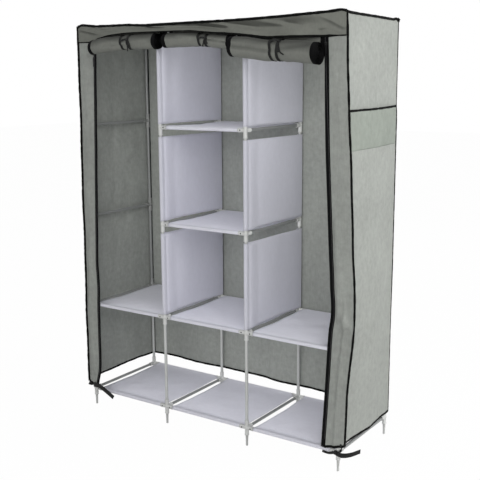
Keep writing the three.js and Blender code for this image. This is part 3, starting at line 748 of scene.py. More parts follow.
def connector(name, hub, arms, buttons, replaces, plastic=PLASTIC):
    """A moulded hub with a rimmed socket along each arm, and a small dark disc on each arm listed: painted
    shade of a hole.
    """
    hub = np.array(hub, float)
    patches = [lathe(hub, (0, 0, 1), HUB_PROFILE)]
    patches += [lathe(hub, arm, ARM_PROFILE) for arm in arms]
    for arm, facing in buttons:
        arm, facing = np.array(arm, float), np.array(facing, float)
        base = hub + arm * BUTTON_PLACE + facing * (ARM_RADIUS + BUTTON_STAND)
        patches.append((lathe(base, facing, BUTTON_PROFILE, 14), 1))
    build(name, patches, [plastic, HOLE_SHADE], replaces=replaces)


def has_shelf_tubes(level):
    """The bottom, second and top levels run through all three columns."""
    return level in (0, 1, LEVEL_COUNT - 1)


def width_arms(index, level):
    """Which ways a post's connector reaches along the width: -1 to the left, 1 to the right."""
    if index in (0, 3):
        return [1 if index == 0 else -1] if has_shelf_tubes(level) else []
    return [-1, 1] if has_shelf_tubes(level) else [1 if index == 1 else -1]


def in_shade(label, level):
    """The left back post above its lowest connector takes the darker paint and plastic: painted shade for
    the cover's dark corner.
    """
    return label == "left_back" and level > 0


def side_frame(index):
    """Two posts of four tubes each, five depth tubes, their connectors, a rail connector and feet."""
    x = POSTS[index]
    stands_for = [f"side_frame_{SIDES[index]}"]
    for row, y in (("front", -HALF_DEPTH), ("back", HALF_DEPTH)):
        label = f"{SIDES[index]}_{row}"
        inward = -math.copysign(1, y)
        build(f"foot_{label}", [lathe((x, y, 0), (0, 0, 1), FOOT_PROFILE, 20)], [FOOT_PLASTIC],
              replaces=stands_for)
        for level, z in enumerate(LEVELS):
            arms = [(side, 0, 0) for side in width_arms(index, level)]
            buttons = [(arm, (0, -inward, 0)) for arm in arms]
            arms += [(0, inward, 0), (0, 0, -1)]
            shade = in_shade(label, level)
            if level < LEVEL_COUNT - 1:
                arms.append((0, 0, 1))
                tube(f"post_{label}_{level + 1}", (x, y, z + SOCKET_FLOOR),
                     (x, y, z + LEVEL_PITCH - SOCKET_FLOOR), stands_for, TUBE_PAINTED_SHADE if shade else PAINT)
            connector(f"connector_{label}_{level + 1}", (x, y, z), arms, buttons, stands_for,
                      SHADED_PLASTIC if shade else PLASTIC)
    for level, z in enumerate(LEVELS):
        reach = HALF_DEPTH - SOCKET_FLOOR
        # Each depth tube takes the darker paint: painted shade, as the front light only grazes it
        tube(f"depth_tube_{SIDES[index]}_{level + 1}", (x, -reach, z), (x, reach, z), stands_for,
             TUBE_PAINTED_SHADE)
    rail_side = 1 if index in (0, 2) else -1
    connector(f"rail_connector_{SIDES[index]}", (x, 0, LEVELS[-1]), [(rail_side, 0, 0)], [], stands_for)


def width_tubes():
    """The tubes along the width, front and back, and the two hanging rails."""
    inset = SOCKET_FLOOR + TUBE_END_GAP
    for column, name in enumerate(COLUMNS):
        left, right = POSTS[column] + inset, POSTS[column + 1] - inset
        for level, z in enumerate(LEVELS):
            if column != 1 and not has_shelf_tubes(level):
                continue
            for row, y in (("front", -HALF_DEPTH), ("back", HALF_DEPTH)):
                tube(f"{row}_{name}_tube_{level + 1}", (left, y, z), (right, y, z),
                     [f"{row}_tube_{name}_{level + 1}"])
        if column != 1:
            z = LEVELS[-1]
            tube(f"{name}_hanging_rail", (left, 0, z), (right, 0, z), [f"hanging_rail_{name}"])


for side_index in range(4):
    side_frame(side_index)
width_tubes()


# Shelves and dividers

SEAM_REACH = 17.0
SEAM_FOLD = 2.0
SEAM_DROP = 0.6
SLEEVE_STEPS = 16
SLEEVE_ANGLES = (-48, -270)
SHEET_START = 3.0
TUBE_RISE_REACH = 15.0
SOCKET_WIDTH = 9.0
SOCKET_BLEND = 7.0
SHELF_SLACK = 1.6


def shelf_profile():
    """The shelf's line from front to back as (y, height over the level): up from the seam under the
    sheet, round the front tube, across with a sag of a squared sine, and round the back tube."""
    angle = np.radians(np.linspace(*SLEEVE_ANGLES, SLEEVE_STEPS))
    front_y = -HALF_DEPTH + SLEEVE_RADIUS * np.cos(angle)
    front_z = SLEEVE_RADIUS * np.sin(angle)
    y = np.linspace(-HALF_DEPTH + SHEET_START, HALF_DEPTH - SHEET_START, 44)
    share = (y + HALF_DEPTH) / FRAME_DEPTH
    near_tube = np.exp(-((HALF_DEPTH - np.abs(y)) / TUBE_RISE_REACH) ** 2)
    z = SHELF_LIFT - SHELF_SAG * np.sin(np.pi * share) ** 2 + (SLEEVE_RADIUS - SHELF_LIFT) * near_tube
    seam = -HALF_DEPTH + SEAM_REACH
    seam_z = np.interp(seam, y, z) - LINING
    front_y = np.concatenate([[seam, seam - SEAM_FOLD], front_y])
    front_z = np.concatenate([[seam_z, seam_z - SEAM_DROP], front_z])
    return np.concatenate([front_y, y, -front_y[::-1]]), np.concatenate([front_z, z, front_z[::-1]])


def shelf(column, level):
    """One sheet wound round both tubes. It is narrower where it passes between the sockets."""
    left, right = POSTS[column], POSTS[column + 1]
    y, z = (values[:, None] for values in shelf_profile())
    share = np.linspace(0, 1, 31)[None]
    inside = eased((HALF_DEPTH - SOCKET_WIDTH - np.abs(y)) / SOCKET_BLEND)
    left_gap = BOTTOM_SHELF_LEFT_GAP if level == 0 else SHELF_LEFT_GAP
    start = left + mix(SOCKET_REACH + SLEEVE_END_GAP, left_gap, inside)
    end = right - mix(SOCKET_REACH + SLEEVE_END_GAP, SHELF_RIGHT_GAP, inside)
    x = mix(start, end, share)
    middle = np.clip(1 - (np.abs(y) / HALF_DEPTH) ** 4, 0, 1) * (np.abs(z) < SLEEVE_RADIUS - 0.2)
    soft = rumple(x, y, 40 + 7 * column + level, 0.9, 70, 260, 0.4) * middle
    slack = -SHELF_SLACK * (1 - np.abs(2 * share - 1) ** 6) * middle
    grid = points(x, y, LEVELS[level] + z + soft + slack)
    piece = build(f"cloth_shelf_{COLUMNS[column]}_{level + 1}", [grid], [WHITE],
                  thickness=LINING, replaces=[f"shelf_{COLUMNS[column]}_{level + 1}"])


DIVIDER_BACK_SEAM = 40.0
DIVIDER_LOOP_RADIUS = 10.2
DIVIDER_RIGHT_SWELL = 10.3
DIVIDER_LEFT_SWELL = 10.0
DIVIDER_LEFT_FADE = 80.0
DIVIDER_ROUNDING = 6.0
DIVIDER_POST_REACH = 16.0
DIVIDER_SEAM_GAP = 1.2


def divider_profile():
    """The divider's plan as (x from the post, y). The sheet starts at a seam behind the front post
    on the left face, comes forward round the post, runs back as one smooth right face with a slight
    bow, closes round the back post and ends on the left face. Each swelling over the front post is
    the square root of one less a decaying power of e."""
    depth = np.linspace(0, 1, 26) ** 2 * DIVIDER_SLEEVE_DEPTH
    swelling = np.sqrt(1 - np.exp(-depth / DIVIDER_ROUNDING))
    behind_post = depth - DIVIDER_POST_REACH
    flat = 1 - eased(behind_post / (DIVIDER_SLEEVE_DEPTH - DIVIDER_POST_REACH))
    right = DIVIDER_RIGHT_SWELL * swelling * flat
    fade = eased(behind_post / DIVIDER_LEFT_FADE)
    left = -DIVIDER_LEFT_SWELL * swelling * (1 - fade) - DIVIDER_SEAM_GAP * fade
    tip = -HALF_DEPTH - DIVIDER_TIP
    seam = tip + DIVIDER_SLEEVE_DEPTH
    y = np.linspace(seam, HALF_DEPTH, 36)[1:]
    share = (y - seam) / (HALF_DEPTH - seam)
    x = DIVIDER_LOOP_RADIUS * eased(share) - DIVIDER_BOW * np.sin(np.pi * share) ** 2
    angle = np.linspace(0, np.pi, 22)[1:]
    loop_x = DIVIDER_LOOP_RADIUS * np.cos(angle)
    loop_y = HALF_DEPTH + DIVIDER_LOOP_RADIUS * np.sin(angle)
    end = HALF_DEPTH - DIVIDER_BACK_SEAM
    end_x = np.interp(end, y, x) - DIVIDER_SEAM_GAP
    return (np.concatenate([left[:0:-1], right, x, loop_x, [end_x]]),
            np.concatenate([tip + depth[:0:-1], tip + depth, y, loop_y, [end]]))


def divider(side, index):
    """One sheet that wraps both posts, a little rumpled between them."""
    post_x = POSTS[1] if side == "left" else POSTS[2]
    foot = LEVELS[index] + DIVIDER_FOOT_GAP
    head = LEVELS[index] + LEVEL_PITCH - DIVIDER_HEAD_GAP
    x, y = (values[:, None] for values in divider_profile())
    share = np.linspace(0, 1, 31)[None]
    near_post = np.abs(HALF_DEPTH - np.abs(y)) < 14
    panel = np.where(near_post, 0, np.clip(1 - (y / HALF_DEPTH) ** 2, 0, 1) ** 0.5)
    z = mix(foot, head, share) + 0 * y
    seed = 90 + 5 * index + (0 if side == "left" else 50)
    soft = rumple(y, z, seed, 0.35, 90, 300, 0.5) * panel
    grid = points(post_x + x + soft, y, z)
    # The divider takes the white cloth painted darker, as painted shade
    piece = build(f"cloth_divider_{side}_{index}", [grid], [SHADED_WHITE_PANEL],
                  thickness=LINING, replaces=[f"divider_{side}_{index}"])


for column_index in range(3):
    shelf(column_index, 0)
    shelf(column_index, 1)
shelf(1, 2)
shelf(1, 3)
for divider_index in (1, 2, 3):
    divider("left", divider_index)
    divider("right", divider_index)


# Cover: where its edges run

roof_front = smooth_line(ROOF_FRONT_EDGE, 22)
roof_right = smooth_line(ROOF_RIGHT_EDGE, 14)
right_edge_stray = smooth_line(RIGHT_EDGE_STRAY, 36)
valance_share = smooth_line(VALANCE_HEM_SHARES, 2.5 * VALANCE_SMOOTHING / (2 * COVER_X))


def right_bow(z):
    """How far the right side bellies out at a height: straight down to the knee, a rounded knee of
    a parabola, and straight back in below it."""
    upper = RIGHT_BELLY / (WALL_TOP - RIGHT_BELLY_HEIGHT)
    lower = (RIGHT_BELLY - RIGHT_BELLY_FOOT) / (RIGHT_BELLY_HEIGHT - FRONT_HEM_INNER)
    below = RIGHT_BELLY_HEIGHT - z
    turned = np.clip(below + RIGHT_BELLY_ROUND, 0, 2 * RIGHT_BELLY_ROUND)
    rounding = turned ** 2 / (4 * RIGHT_BELLY_ROUND)
    past = np.maximum(below - RIGHT_BELLY_ROUND, 0)
    return RIGHT_BELLY + upper * below - (upper + lower) * (rounding + past)


def right_reach(z):
    """How far the right front corner stands out: the belly and the seam's own stray."""
    return right_bow(z) + right_edge_stray(z)


def left_flare(z):
    """How far the left side stands out at a height: evenly more towards the hem."""
    return LEFT_FLARE * np.clip((WALL_TOP - z) / (WALL_TOP - LEFT_HEM_BACK), 0, 1)


def left_edge(z):
    """The left front corner, which wavers a little as the seam is loose."""
    return -COVER_X - left_flare(z) + 1.4 * np.sin(z / 95.0) + 0.9 * np.sin(z / 41.0)


def right_edge(z):
    """The right front corner."""
    return COVER_X + right_reach(z) + 1.0 * np.sin(z / 88.0 + 1.0) + 0.6 * np.sin(z / 37.0)


left_stray = smooth_line(LEFT_ZIP_STRAY, 50)
right_stray = smooth_line(RIGHT_ZIP_STRAY, 36)
right_tape_shift = smooth_line(RIGHT_TAPE_SHIFT, 120)


def left_zip(z):
    """The left zip line: it drifts outwards on its way down and wavers with the tape's slack."""
    lean = LEFT_ZIP_DRIFT * (WALL_TOP - z) / (WALL_TOP - FRONT_HEM_INNER)
    return -COVER_X + LEFT_ZIP_INSET - lean + left_stray(z)


def right_zip(z):
    """The right zip line, inside the bellied edge, with a kink at the knee."""
    return COVER_X - RIGHT_ZIP_INSET + right_bow(z) + right_stray(z)


def valance_hem(x):
    """The height of the valance's hem."""
    return WALL_TOP - VALANCE_DEPTH * valance_share((x + COVER_X) / (2 * COVER_X))


def valance_front(x, t):
    """How far the rolls push the valance forward, at a share t of its drop."""
    flat = np.minimum(x + COVER_X, COVER_X - x) - VALANCE_FLAT_END
    return VALANCE_DRAPE * eased(flat / (2.6 * VALANCE_FLAT_END)) * t ** 2


def overhang(x):
    """How far the roof's piped edge stands out over the valance along its middle."""
    return ROOF_OVERHANG * eased((x + 330) / 110) * eased((600 - x) / 160)


SEAM_INSET = 0.6
WALL_INSET = 1.5
FRONT_Y = -COVER_Y + SEAM_INSET
VALANCE_Y = -COVER_Y - VALANCE_GAP - SEAM_INSET
WALL_FRONT = -COVER_Y + WALL_INSET
WALL_BACK = COVER_Y - WALL_INSET
WALL_DEPTH = WALL_BACK - WALL_FRONT
COVER_INSIDE_X = COVER_X - SEAM_INSET

# Loose cloth: height, shortest and longest wave, and how upright its crests stand
RIGHT_WALL_RUMPLE = (1.6, 90, 420, 0.55)
LEFT_WALL_RUMPLE = (1.6, 80, 380, 0.6)
FINE_WALL_RUMPLE = (0.5, 30, 90, 0.3)
STRIP_RUMPLE = (0.9, 45, 260, 0.5)
BACK_RUMPLE = (1.5, 55, 230, 0.93)
FINE_BACK_RUMPLE = (0.5, 30, 80, 0.6)
ROOF_RUMPLE = (0.8, 90, 300, 0.3)
VALANCE_RUMPLE = (0.9, 50, 190, 0.6)

# Folds: start, end, width and height of each. Walls and strips are measured from their front
# corner, the valance from its middle.
PACKING_FOLDS = [((-20, height), (470, height + 4), 9, 1.1) for height in (1235, 905, 575, 300)]
KNEE_FOLDS = [((-20, 700), (190, 640), 34, -3.0), ((0, 760), (300, 830), 46, 2.2)]
LEFT_STRIP_FOLDS = [((30, 1500), (60, 1250), 10, 1.5), ((50, 900), (20, 520), 12, 2.0),
                    ((70, 640), (86, 380), 8, -2.5), ((20, 420), (55, 140), 10, 2.5)]
RIGHT_STRIP_FOLDS = [((3, 1480), (14, 1330), 5, -3.5), ((10, 1440), (4, 1360), 4, 2.5),
                     ((60, 1560), (30, 1280), 12, 2.0), ((96, 650), (-8, 592), 26, 14.0),
                     ((84, 600), (6, 540), 18, -4.0), ((76, 980), (74, 690), 34, 13.0),
                     ((38, 640), (46, 100), 8, 5.0), ((20, 600), (22, 160), 8, -2.0),
                     ((62, 560), (70, 130), 12, -2.0)]
VALANCE_FOLDS = [((-640, 1735), (-470, 1700), 9, 2.5), ((-560, 1728), (-330, 1704), 7, -2.5),
                 ((-420, 1722), (-215, 1712), 6, 2.5), ((-200, 1728), (60, 1704), 9, 3.5),
                 ((20, 1722), (150, 1700), 8, -4.0), ((90, 1732), (300, 1690), 10, 4.5),
                 ((180, 1725), (420, 1668), 12, -4.0), ((330, 1728), (520, 1690), 12, 3.0),
                 ((430, 1715), (600, 1672), 9, -2.5), ((560, 1740), (640, 1700), 8, 2.0)]


def ridge(share):
    """The fold that packing leaves up the middle of a wall: a tent over its width."""
    return 1 - np.abs(2 * share - 1)


def below_roof(z):
    """0 where a wall is sewn to the roof, growing to 1 some way below it."""
    return eased((WALL_TOP - z) / 150)


def wall_slack(share, z, seed, broad, packing_side, folds=()):
    """A side wall's looseness: broad and fine rumples, the level folds of packing and its own folds,
    all held at both seams by a power of a sine."""
    across = share * WALL_DEPTH
    loose = rumple(across, z, seed, *broad) + rumple(across, z, seed + 1, *FINE_WALL_RUMPLE)
    loose = loose + packing_side * creases(across, z, PACKING_FOLDS) + creases(across, z, folds)
    return np.sin(np.pi * np.clip(share, 0, 1)) ** 0.6 * loose


def right_wall_x(share, z):
    """The right wall's place at a share of its depth and a height."""
    loose = RIGHT_PACKING_RIDGE * ridge(share) + wall_slack(share, z, 7, RIGHT_WALL_RUMPLE, 1, KNEE_FOLDS)
    return COVER_INSIDE_X + right_reach(z) * (1 - share) + below_roof(z) * loose


def left_wall_x(share, z):
    """The left wall's place at a share of its depth and a height."""
    loose = wall_slack(share, z, 17, LEFT_WALL_RUMPLE, -1) - LEFT_PACKING_RIDGE * ridge(share)
    return -COVER_INSIDE_X - left_flare(z) * (1 - share) + below_roof(z) * loose


def cover_sheet(name, grid, cloth=COVER):
    """A panel of the cover in place of its solid."""
    piece = build(f"cloth_{name}", [grid], [cloth], thickness=CLOTH,
                  replaces=[f"cover_{name}"])
    return grid


def side_wall(side, wall_x, front_hem, back_hem, top):
    """A wall between the front and back corner seams, from its hem to the roof's edge."""
    s, t = shares(56, 150)
    y = mix(WALL_FRONT, WALL_BACK, s)
    z = mix(mix(front_hem, back_hem, s) + 1.5 * np.sin(s * 11), top(y), t)
    return cover_sheet(f"side_{side}", points(wall_x(s, z), y, z))


def strip(side, edge, zip_line, seed, folds):
    """A front strip between the corner and the zip: a hump that grows towards the hem, rumples and
    folds. It lies flat beside the zip."""
    s, t = shares(26, 170)
    hem = mix(FRONT_HEM_OUTER, FRONT_HEM_INNER, s)
    z = mix(hem, mix(WALL_TOP - 1, WALL_TOP - 3, s), t)
    across = s * RIGHT_ZIP_INSET
    held = np.sin(np.pi * s) ** 0.7
    hump = 4.0 * wave(np.clip(s / 0.7, 0, 1), 1) * (1 - t)
    loose = hump + held * rumple(across, z, seed, *STRIP_RUMPLE)
    loose = loose + creases(across, z, folds) * (0.12 + 0.88 * held)
    loose = loose * eased((0.94 - s) / 0.14)
    grid = points(mix(edge(z), zip_line(z), s), FRONT_Y - np.clip(loose, -1.0, None), z)
    return cover_sheet(f"strip_{side}", grid)


def back_wall():
    """The back hangs in shallow upright folds that fade out towards the roof and the side seams."""
    s, t = shares(150, 90)
    hem = mix(LEFT_HEM_BACK, RIGHT_HEM_BACK, s ** 3) + BACK_HEM_WAVE * np.sin(2 * np.pi * 3 * s)
    z = mix(hem, ROOF_PLAIN_HEIGHT - 1, t)
    x = mix(-COVER_X, COVER_X, s)
    fold = BACK_FOLD * wave(s, 5) * (1 - t * t) + 1.2
    held = np.sin(np.pi * s) ** 0.5 * (1 - 0.6 * t)
    fold = fold + held * (1.5 + rumple(x, z, 27, *BACK_RUMPLE) + rumple(x, z, 28, *FINE_BACK_RUMPLE))
    grid = points(x, COVER_Y - SEAM_INSET + np.clip(fold, 0.2, None), z)
    return cover_sheet("back", grid)


def roof_height(x, y):
    """The roof rests on the top hubs, sags a little over each column and rises to its seams."""
    s = (x + COVER_X) / (2 * COVER_X)
    t = (y + COVER_Y) / (2 * COVER_Y)
    sag = ROOF_SAG * wave(s, 3) * np.sin(np.pi * np.clip(t, 0, 1)) ** 2
    rise_front = roof_front(x) - ROOF_PLAIN_HEIGHT
    reach = np.where(rise_front > 0, 26, 9)
    rise_front = rise_front * np.exp(-(np.abs(y - VALANCE_Y + overhang(x)) / reach) ** 1.5)
    near_right = np.exp(-(np.abs(COVER_X - x) / 26) ** 1.5)
    rise_right = (roof_right(y) - ROOF_PLAIN_HEIGHT) * near_right * eased((y + COVER_Y) / 40)
    soft = rumple(x, y, 61, *ROOF_RUMPLE) * np.sin(np.pi * np.clip(s, 0, 1)) ** 0.4
    return ROOF_PLAIN_HEIGHT - sag + rise_front + rise_right + soft * np.sin(np.pi * np.clip(t, 0, 1))


def roof():
    """The roof between its four piped seams."""
    s, t = shares(140, 50)
    x = mix(-COVER_X, COVER_X, s)
    y = mix(VALANCE_Y - overhang(x), COVER_Y, t ** 1.5)
    cover_sheet("roof", points(x, y, roof_height(x, y)))


def valance():
    """The valance hangs from the roof's front seam over the rolled doors, drawn into shallow folds."""
    s, t = shares(230, 34)
    x = mix(-COVER_X, COVER_X, s)
    lift = VALANCE_HEM_LIFT * valance_front(x, 1) / VALANCE_DRAPE
    z = mix(roof_front(x) - 0.5, valance_hem(x) + lift, t)
    loose = rumple(x, z, 71, *VALANCE_RUMPLE) * t * np.sin(np.pi * s) ** 0.3
    loose = loose + 1.5 * creases(x, z, VALANCE_FOLDS) * eased(2.5 * t)
    lip = overhang(x) * (1 - eased(t / 0.62))
    y = VALANCE_Y - np.clip(valance_front(x, t) + loose + lip, -0.4, None)
    # The valance takes the cover's cloth painted darker, as painted shade
    return cover_sheet("valance", points(x, y, z), cloth=SHADED_VALANCE_CLOTH)


wall_right = side_wall("right", right_wall_x, RIGHT_HEM_FRONT, RIGHT_HEM_BACK, roof_right)
wall_left = side_wall("left", left_wall_x, LEFT_HEM_FRONT, LEFT_HEM_BACK,
                      lambda y: ROOF_PLAIN_HEIGHT + 0 * y)
strip_left = strip("left", left_edge, left_zip, 31, LEFT_STRIP_FOLDS)
strip_right = strip("right", right_edge, right_zip, 33, RIGHT_STRIP_FOLDS)
wall_back = back_wall()
roof()
valance_cloth = valance()


# Pocket on the right wall

POCKET_SEAM = 2.0
POCKET_RUMPLE = (1.0, 45, 160, 0.85)
POCKET_FOLDS = [((150, 1396), (158, 1266), 9, 2.2), ((250, 1398), (244, 1262), 9, -2.0),
                ((330, 1398), (338, 1272), 9, 2.4)]


def pocket():
    """A bag sewn flat to the wall on three sides. Its mouth gapes by a sine that grows upwards."""
    s, t = shares(44, 36)
    y = mix(WALL_FRONT + POCKET_SEAM, WALL_BACK - POCKET_INSET, s)
    sewn = 1 - (2 * s - 1) ** 4
    z = POCKET_MOUTH + 6 * s - (POCKET_HEIGHT - 5 * (1 - s)) * (1 - t) - 0.8 * wave(s, 1) * t
    upright = rumple(y, z, 81, *POCKET_RUMPLE) * sewn * eased(3 * t)
    upright = upright + creases(y - WALL_FRONT, z, POCKET_FOLDS) * sewn
    gape = POCKET_GAPE * np.sin(np.pi / 2 * t) * sewn
    off_wall = np.clip(POCKET_OFFSET * eased(6 * t + 0.3) + gape + upright, 0.8, None)
    grid = points(right_wall_x((y - WALL_FRONT) / WALL_DEPTH, z) + off_wall, y, z)
    piece = build("cloth_side_pocket", [grid], [POCKET], thickness=CLOTH,
                  replaces=["side_pocket"])
    return grid[:, -1]


pocket_mouth = pocket()


# Bindings and piping

def binding(name, path, side, width=BINDING_WIDTH, depth=BINDING_DEPTH, seed=1):
    """Black tape folded over an edge: an oval section that swells and thins by a tenth. The path is
    cut into short steps first, and width may be one value for each of them."""
    path, along = in_short_steps(path)
    swell = 1 + rumple(along, 0, seed, 0.08, 22, 90, 1.0)[:, None, None]
    section = ovals(width, depth, 12, 0.7) * swell
    build(name, [sweep(path, section, side)], [BINDING], sharp=60)


def roof_piping():
    """Piping in the roof's four seams, and the piping's turned end at three of its corners."""
    x = np.linspace(-COVER_X, COVER_X, 260)
    y = np.linspace(VALANCE_Y, COVER_Y, 100)
    plain = ROOF_PLAIN_HEIGHT - 0.5
    upright = (0, 0, 1)
    front = points(x, VALANCE_Y - 0.8 - overhang(x), roof_front(x) - 0.5)
    binding("piping_roof_front", front, upright, 10.2, 5.8, 2)
    binding("piping_roof_right", points(COVER_X + 0.6, y, roof_right(y) - 0.5), upright, 9.8, 5.8, 3)
    binding("piping_roof_back", points(x, COVER_Y + 0.8, plain), upright, 8.4, 5.2, 4)
    binding("piping_roof_left", points(-COVER_X - 0.6, y, plain), upright, 8.4, 5.2, 5)
    for label, x, y, z in (("front_left", -COVER_X, VALANCE_Y, roof_front(-COVER_X)),
                           ("back_right", COVER_X, COVER_Y - 14, roof_right(COVER_Y - 14)),
                           ("back_left", -COVER_X, COVER_Y, ROOF_PLAIN_HEIGHT)):
        tuft = curve_through([(x + 9, y, z - 3), (x + 1, y - 1, z + 4), (x - 2, y + 7, z - 4)], 14)
        binding(f"seam_end_{label}", tuft, (0.4, 0.4, 1), 9.0, 7.0, 6)


def upright_bindings():
    """Bindings on the front corner seams and the lower part of the back right one, and the seam
    tapes inside the two back corners."""
    z = np.linspace(WALL_TOP + 6, RIGHT_HEM_FRONT - 8, 300)
    seam = points(right_edge(z) + 0.6, FRONT_Y - 1.2, z)
    binding("binding_front_right", seam, (1, -0.6, 0), 13.6, 4.6, 6)
    z = np.linspace(WALL_TOP + 4, LEFT_HEM_FRONT - 6, 300)
    seam = points(left_edge(z) - 0.4, FRONT_Y - 1.2, z)
    binding("binding_front_left", seam, (1, 0.6, 0), 12.6, 4.6, 7)
    z = np.linspace(WALL_TOP - 8, LEFT_HEM_BACK, 200)
    inset = mix(11, 16, (z - LEFT_HEM_BACK) / (WALL_TOP - LEFT_HEM_BACK))
    binding("seam_tape_back_left", points(-COVER_X + inset, COVER_Y - 2.6, z), (1, 0.1, 0), 6.5, 1.8, 8)
    z = np.linspace(WALL_TOP - 8, RIGHT_HEM_BACK, 200)
    binding("seam_tape_back_right", points(COVER_X - 12, COVER_Y - 2.6, z), (1, -0.1, 0), 6.5, 1.8, 9)
    out = 7.2 * eased((1420 - z) / 60) * (1 - 0.75 * eased((760 - z) / 300)) - 4.6
    seam = points(right_wall_x(1, z) + 0.5, COVER_Y + out, z)
    binding("binding_back_right", seam, (0.3, 1, 0), 5.0, 3.4, 10)


def hem_bindings():
    """Bindings on all the lower edges and on the pocket's mouth."""
    for label, grid, seed in (("strip_left", strip_left, 11), ("strip_right", strip_right, 12),
                              ("side_left", wall_left, 13), ("side_right", wall_right, 14),
                              ("back", wall_back, 15)):
        forward = -0.6 if label.startswith("strip") else 0
        binding(f"hem_{label}", grid[:, 0] + (0, forward, 3), (0, 0, 1), seed=seed)
    binding("binding_pocket_mouth", pocket_mouth + (0.4, 0, -1.5), (0, 0, 1), 8.6, 3.2, 16)


def valance_binding():
    """The valance's hem: a thick binding, wider over the right roll, where it turns to face down."""
    path = (valance_cloth[:, -1] + (0, -0.8, 2))[::2]
    x = in_short_steps(path)[0][:, 0]
    width = 4.2 + 4.8 * eased((x - 60) / 160) * eased((640 - x) / 60)
    binding("hem_valance", path, (0, 0.25, 1), width, 4.2, 19)


roof_piping()
upright_bindings()
hem_bindings()
valance_binding()


# Rolled doors

ROLL_CORE = 3.0
DOOR_LENGTH = 1650.0
END_TAPE = 17.0
SPIRAL_STEPS = 30
TIES = {"left": (-364.0, -323.0), "centre": (36.0, 71.0), "right": (379.0, 412.0)}
ROLL_DENTS = {
    "left": [((-462, 1657), (-360, 1652), 6, -2.6), ((-500, 1690), (-400, 1676), 9, 1.6),
             ((-320, 1650), (-215, 1668), 8, -1.8)],
    "centre": [((74, 1672), (165, 1658), 5, -2.4), ((-120, 1660), (20, 1668), 9, -1.6),
               ((-60, 1690), (30, 1680), 7, 1.4)],
    "right": [((420, 1630), (530, 1640), 8, -2.2), ((215, 1646), (372, 1624), 12, -4.2),
              ((240, 1672), (372, 1650), 8, 1.8)],
}


def roll_share(roll, x):
    """How far along the roll a place lies."""
    return (x - roll["from"]) / (roll["to"] - roll["from"])


def roll_radius(roll, x):
    """The roll's outer radius at a place along it."""
    return mix(*roll["radii"], roll_share(roll, x))


def roll_height(roll, x):
    """The height of the roll's middle: under the valance's hem, with a cubed droop to the right."""
    droop = roll["droop"] * np.clip(roll_share(roll, x), 0, 1) ** 3
    return valance_hem(x) - TIE_ALLOWANCE - roll_radius(roll, x) - droop


def squeeze(name, x):
    """How far the two ribbons press the roll in at a place along it."""
    return sum(3.4 * np.exp(-((x - place) / 13.0) ** 2) for place in TIES[name])


def roll_point(name, x, angle, radius, outward=0.0):
    """A point at an angle round the roll: from its back, under it, to its front and top. The shape
    wavers by five sets of two to six humps round the roll, whose height changes along it."""
    roll = ROLLS[name]
    outer = roll_radius(roll, x)
    seed = roll["seed"]
    waver = sum(rumple(x, 0, seed * 10 + k, 0.75 / k ** 0.5, 60, 240, 1.0) * np.cos(k * angle + seed * k)
                for k in range(2, 7))
    front_z = roll_height(roll, x) - outer * np.sin(angle)
    dent = 1.8 * creases(x, front_z, ROLL_DENTS[name])
    facing = eased(-np.cos(angle) * 2)
    reach = radius + (radius / outer) * (waver - squeeze(name, x) + dent * facing) + outward
    y = ROLL_BACK - outer + reach * np.cos(angle)
    return points(x, y, roll_height(roll, x) - reach * np.sin(angle))


def end_shift(turn, wound, beats, shift, lag, swell):
    """How far a door's side edge stands out of the roll after some turns: two sines, and a parabola
    over the whole winding."""
    uneven = 2.6 * np.sin(beats[0] * turn + shift) + 1.5 * np.sin(beats[1] * turn + lag)
    return uneven + swell * wound * (1 - wound)


def rolled_door(name):
    """One sheet: its header hangs from the roof, and the rest winds forward and up in a spiral. Its
    side edges carry zip tape and stand out unevenly, turn by turn."""
    roll = ROLLS[name]
    mean = roll_radius(roll, (roll["from"] + roll["to"]) / 2)
    turns = DOOR_LENGTH / (math.pi * (mean + ROLL_CORE))
    angle = np.linspace(0, 2 * np.pi * turns, int(turns * SPIRAL_STEPS))[:, None]
    wound = angle / angle[-1]
    turn = angle / (2 * np.pi)
    ends = np.array([0, END_TAPE / 2, END_TAPE]) / (roll["to"] - roll["from"])
    s = np.concatenate([ends, np.linspace(0.06, 0.94, 44), 1 - ends[::-1]])[None]
    left = roll["from"] + end_shift(turn, wound, (1.9, 0.83), roll["seed"], 0, -4.0)
    right = roll["to"] + end_shift(turn, wound, (1.6, 0.7), 2 * roll["seed"], 1, 6.0)
    x = mix(left, right, s)
    spiral = roll_point(name, x, angle, mix(roll_radius(roll, x), ROLL_CORE, wound))
    drop = np.linspace(0, 1, 8)[:-1, None]
    header_y = mix(FRONT_Y + 0.4, spiral[:1, :, 1], eased(drop))
    header_z = mix(roof_front(x[:1]) - 4, spiral[:1, :, 2], drop)
    grid = np.concatenate([points(x[:1], header_y, header_z), spiral])
    number = np.zeros((grid.shape[0] - 1, grid.shape[1] - 1), int)
    number[:, [0, 1, -2, -1]] = 1
    # The roll takes the cover's cloth painted darker as painted shade, and zip tape on its edge columns
    piece = build(f"cloth_door_{name}", [(grid, number)], [SHADED_ROLL_CLOTH, TAPE], thickness=CLOTH,
                  replaces=[f"door_roll_{name}"])


def ribbon(name, path, side, width, thickness=0.8, taper=0.0, replaces=()):
    """Flat ribbon along a path, drawn narrower towards its end by a share."""
    narrowed = 1 - taper * np.linspace(0, 1, len(path))
    section = ovals(width * narrowed, thickness, 10, 0.6)
    return build(name, [sweep(path, section, side)], [RIBBON], sharp=60, replaces=replaces)


